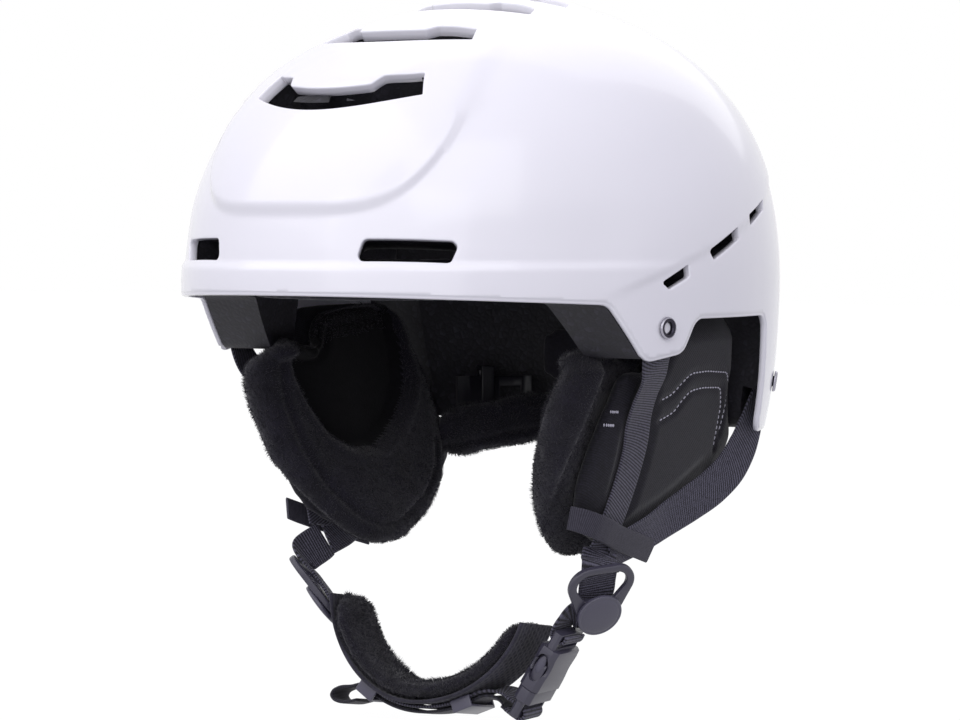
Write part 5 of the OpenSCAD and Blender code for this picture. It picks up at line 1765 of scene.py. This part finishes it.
chin_pad_off = -base_off - base_t / 2 - 0.6 - chin_t / 2
chin_pad = pad_along("chin_pad", chin_stations(pad_far, pad_near, 22, chin_pad_off), chin_w, chin_t,
                     fleece, 3, swell=2.0, smooth=2, round_end=11, slim=0.94)
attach(chin_pad, "helmet")
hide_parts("chin_pad")
pile(chin_pad, 17000, 1.15, fibre, 14)

# ---- fit system ----
# Satin moulded nylon: a housing and guides fixed to the liner, two toothed arms of stiffer nylon
# with the pinion between them, and a dial covered in soft rubber.

nylon = moulded("satin_moulded_nylon", "#131219", "#1a1921", 0.42, 1300.0, 0.00008)
arm_nylon = moulded("glass_filled_nylon", "#17161d", "#201f28", 0.5, 1000.0, 0.0001)
dial_rubber = moulded("overmoulded_soft_rubber", "#15141a", "#1e1c24", 0.62, 900.0, 0.00012)
from_cad("fit_housing", "fit_housing", 0.5, nylon)
from_cad("arm_guides", "arm_guides", 0.4, nylon)
from_cad("left_arm", "left_arm", 0.18, arm_nylon, body="left_arm", segments=2)
from_cad("right_arm", "right_arm", 0.18, arm_nylon, body="right_arm", segments=2)
from_cad("dial_pinion", "dial_pinion", 0.12, arm_nylon, body="fit_dial", segments=2)
from_cad("fit_dial", "fit_dial", 0.35, dial_rubber, body="fit_dial")

# ---- goggle keeper ----
# A rubber band that swings on a moulded foot riveted to the shell, and snaps shut over the strap
# of a pair of goggles.

band_rubber = moulded("moulded_silicone_rubber", "#16151b", "#201e27", 0.55, 1100.0, 0.0001)
hinge, foot = skin_z(180, 26), skin_z(180, -18)
run = unit(foot - hinge)
away = np.array([0, -run[2], run[1]])
keeper_l, keeper_t, keeper_w = float(np.linalg.norm(foot - hinge)), 2.4, 20.0


def bow(x):
    """How far the band stands off the shell x mm below its hinge: it bows out over the strap."""
    return seat + 2 + 6.5 * math.sin(math.pi * min(1, max(0, (x - 8) / (keeper_l - 16)))) ** 2


spots = np.linspace(-keeper_t / 2 + 0.2, keeper_l + 6, 24)
stations = [(hinge + run * x + away * (bow(x) + keeper_t / 2), away) for x in spots]
place, side, out, at = path_frames(stations, 0.8)
section = flat_section(keeper_w, keeper_t, 24)
u, v = section[:, 0], section[:, 1]
gap = at[-1] - at
wide = np.sqrt(np.clip(1 - (1 - np.clip(gap / 9, 0, 1)) ** 2, 0.03, 1))
# grip ridges across its outer face, and none at the hinge and the snap
ridge_pitch, ridge_high = 3.2, 0.28
ridge = (ridge_high * np.abs(np.sin(math.pi * at / ridge_pitch))[:, None] * (v > 0)[None]
         * ease((8.2 - np.abs(u)) / 1.2)[None])
ridge = ridge * (ease((at - 10) / 3) * ease((at[-1] - 17 - at) / 3))[:, None]
points = (place[:, None] + side[:, None] * (u[None] * (0.35 + 0.65 * wide[:, None]))[..., None]
          + out[:, None] * (v[None] - ridge)[..., None])
keeper = tube(points, np.zeros(points.shape[:2] + (2,)), "goggle_keeper", band_rubber)
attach(keeper, "goggle_keeper")
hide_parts("goggle_keeper")
from_cad("keeper_base", "keeper_base", 0.5, nylon)
snap_profile = [(0, 0), (5.7, 0), (6, 0.25), (6, 0.7), (5.85, 1.0), (5.5, 1.3), (5, 1.5),
                (4.6, 1.42), (4.2, 1.5), (3, 1.75), (1.5, 1.87), (0, 1.9)]
bm = turned(snap_profile)
snap_at = hinge + run * keeper_l + away * (bow(keeper_l) + keeper_t + 0.05)
bmesh.ops.transform(bm, matrix=seat_at(snap_at, run, away), verts=bm.verts)
snap = place_mesh(bm, "keeper_snap", dark_chrome)
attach(snap, "goggle_keeper")
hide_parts("keeper_snap")
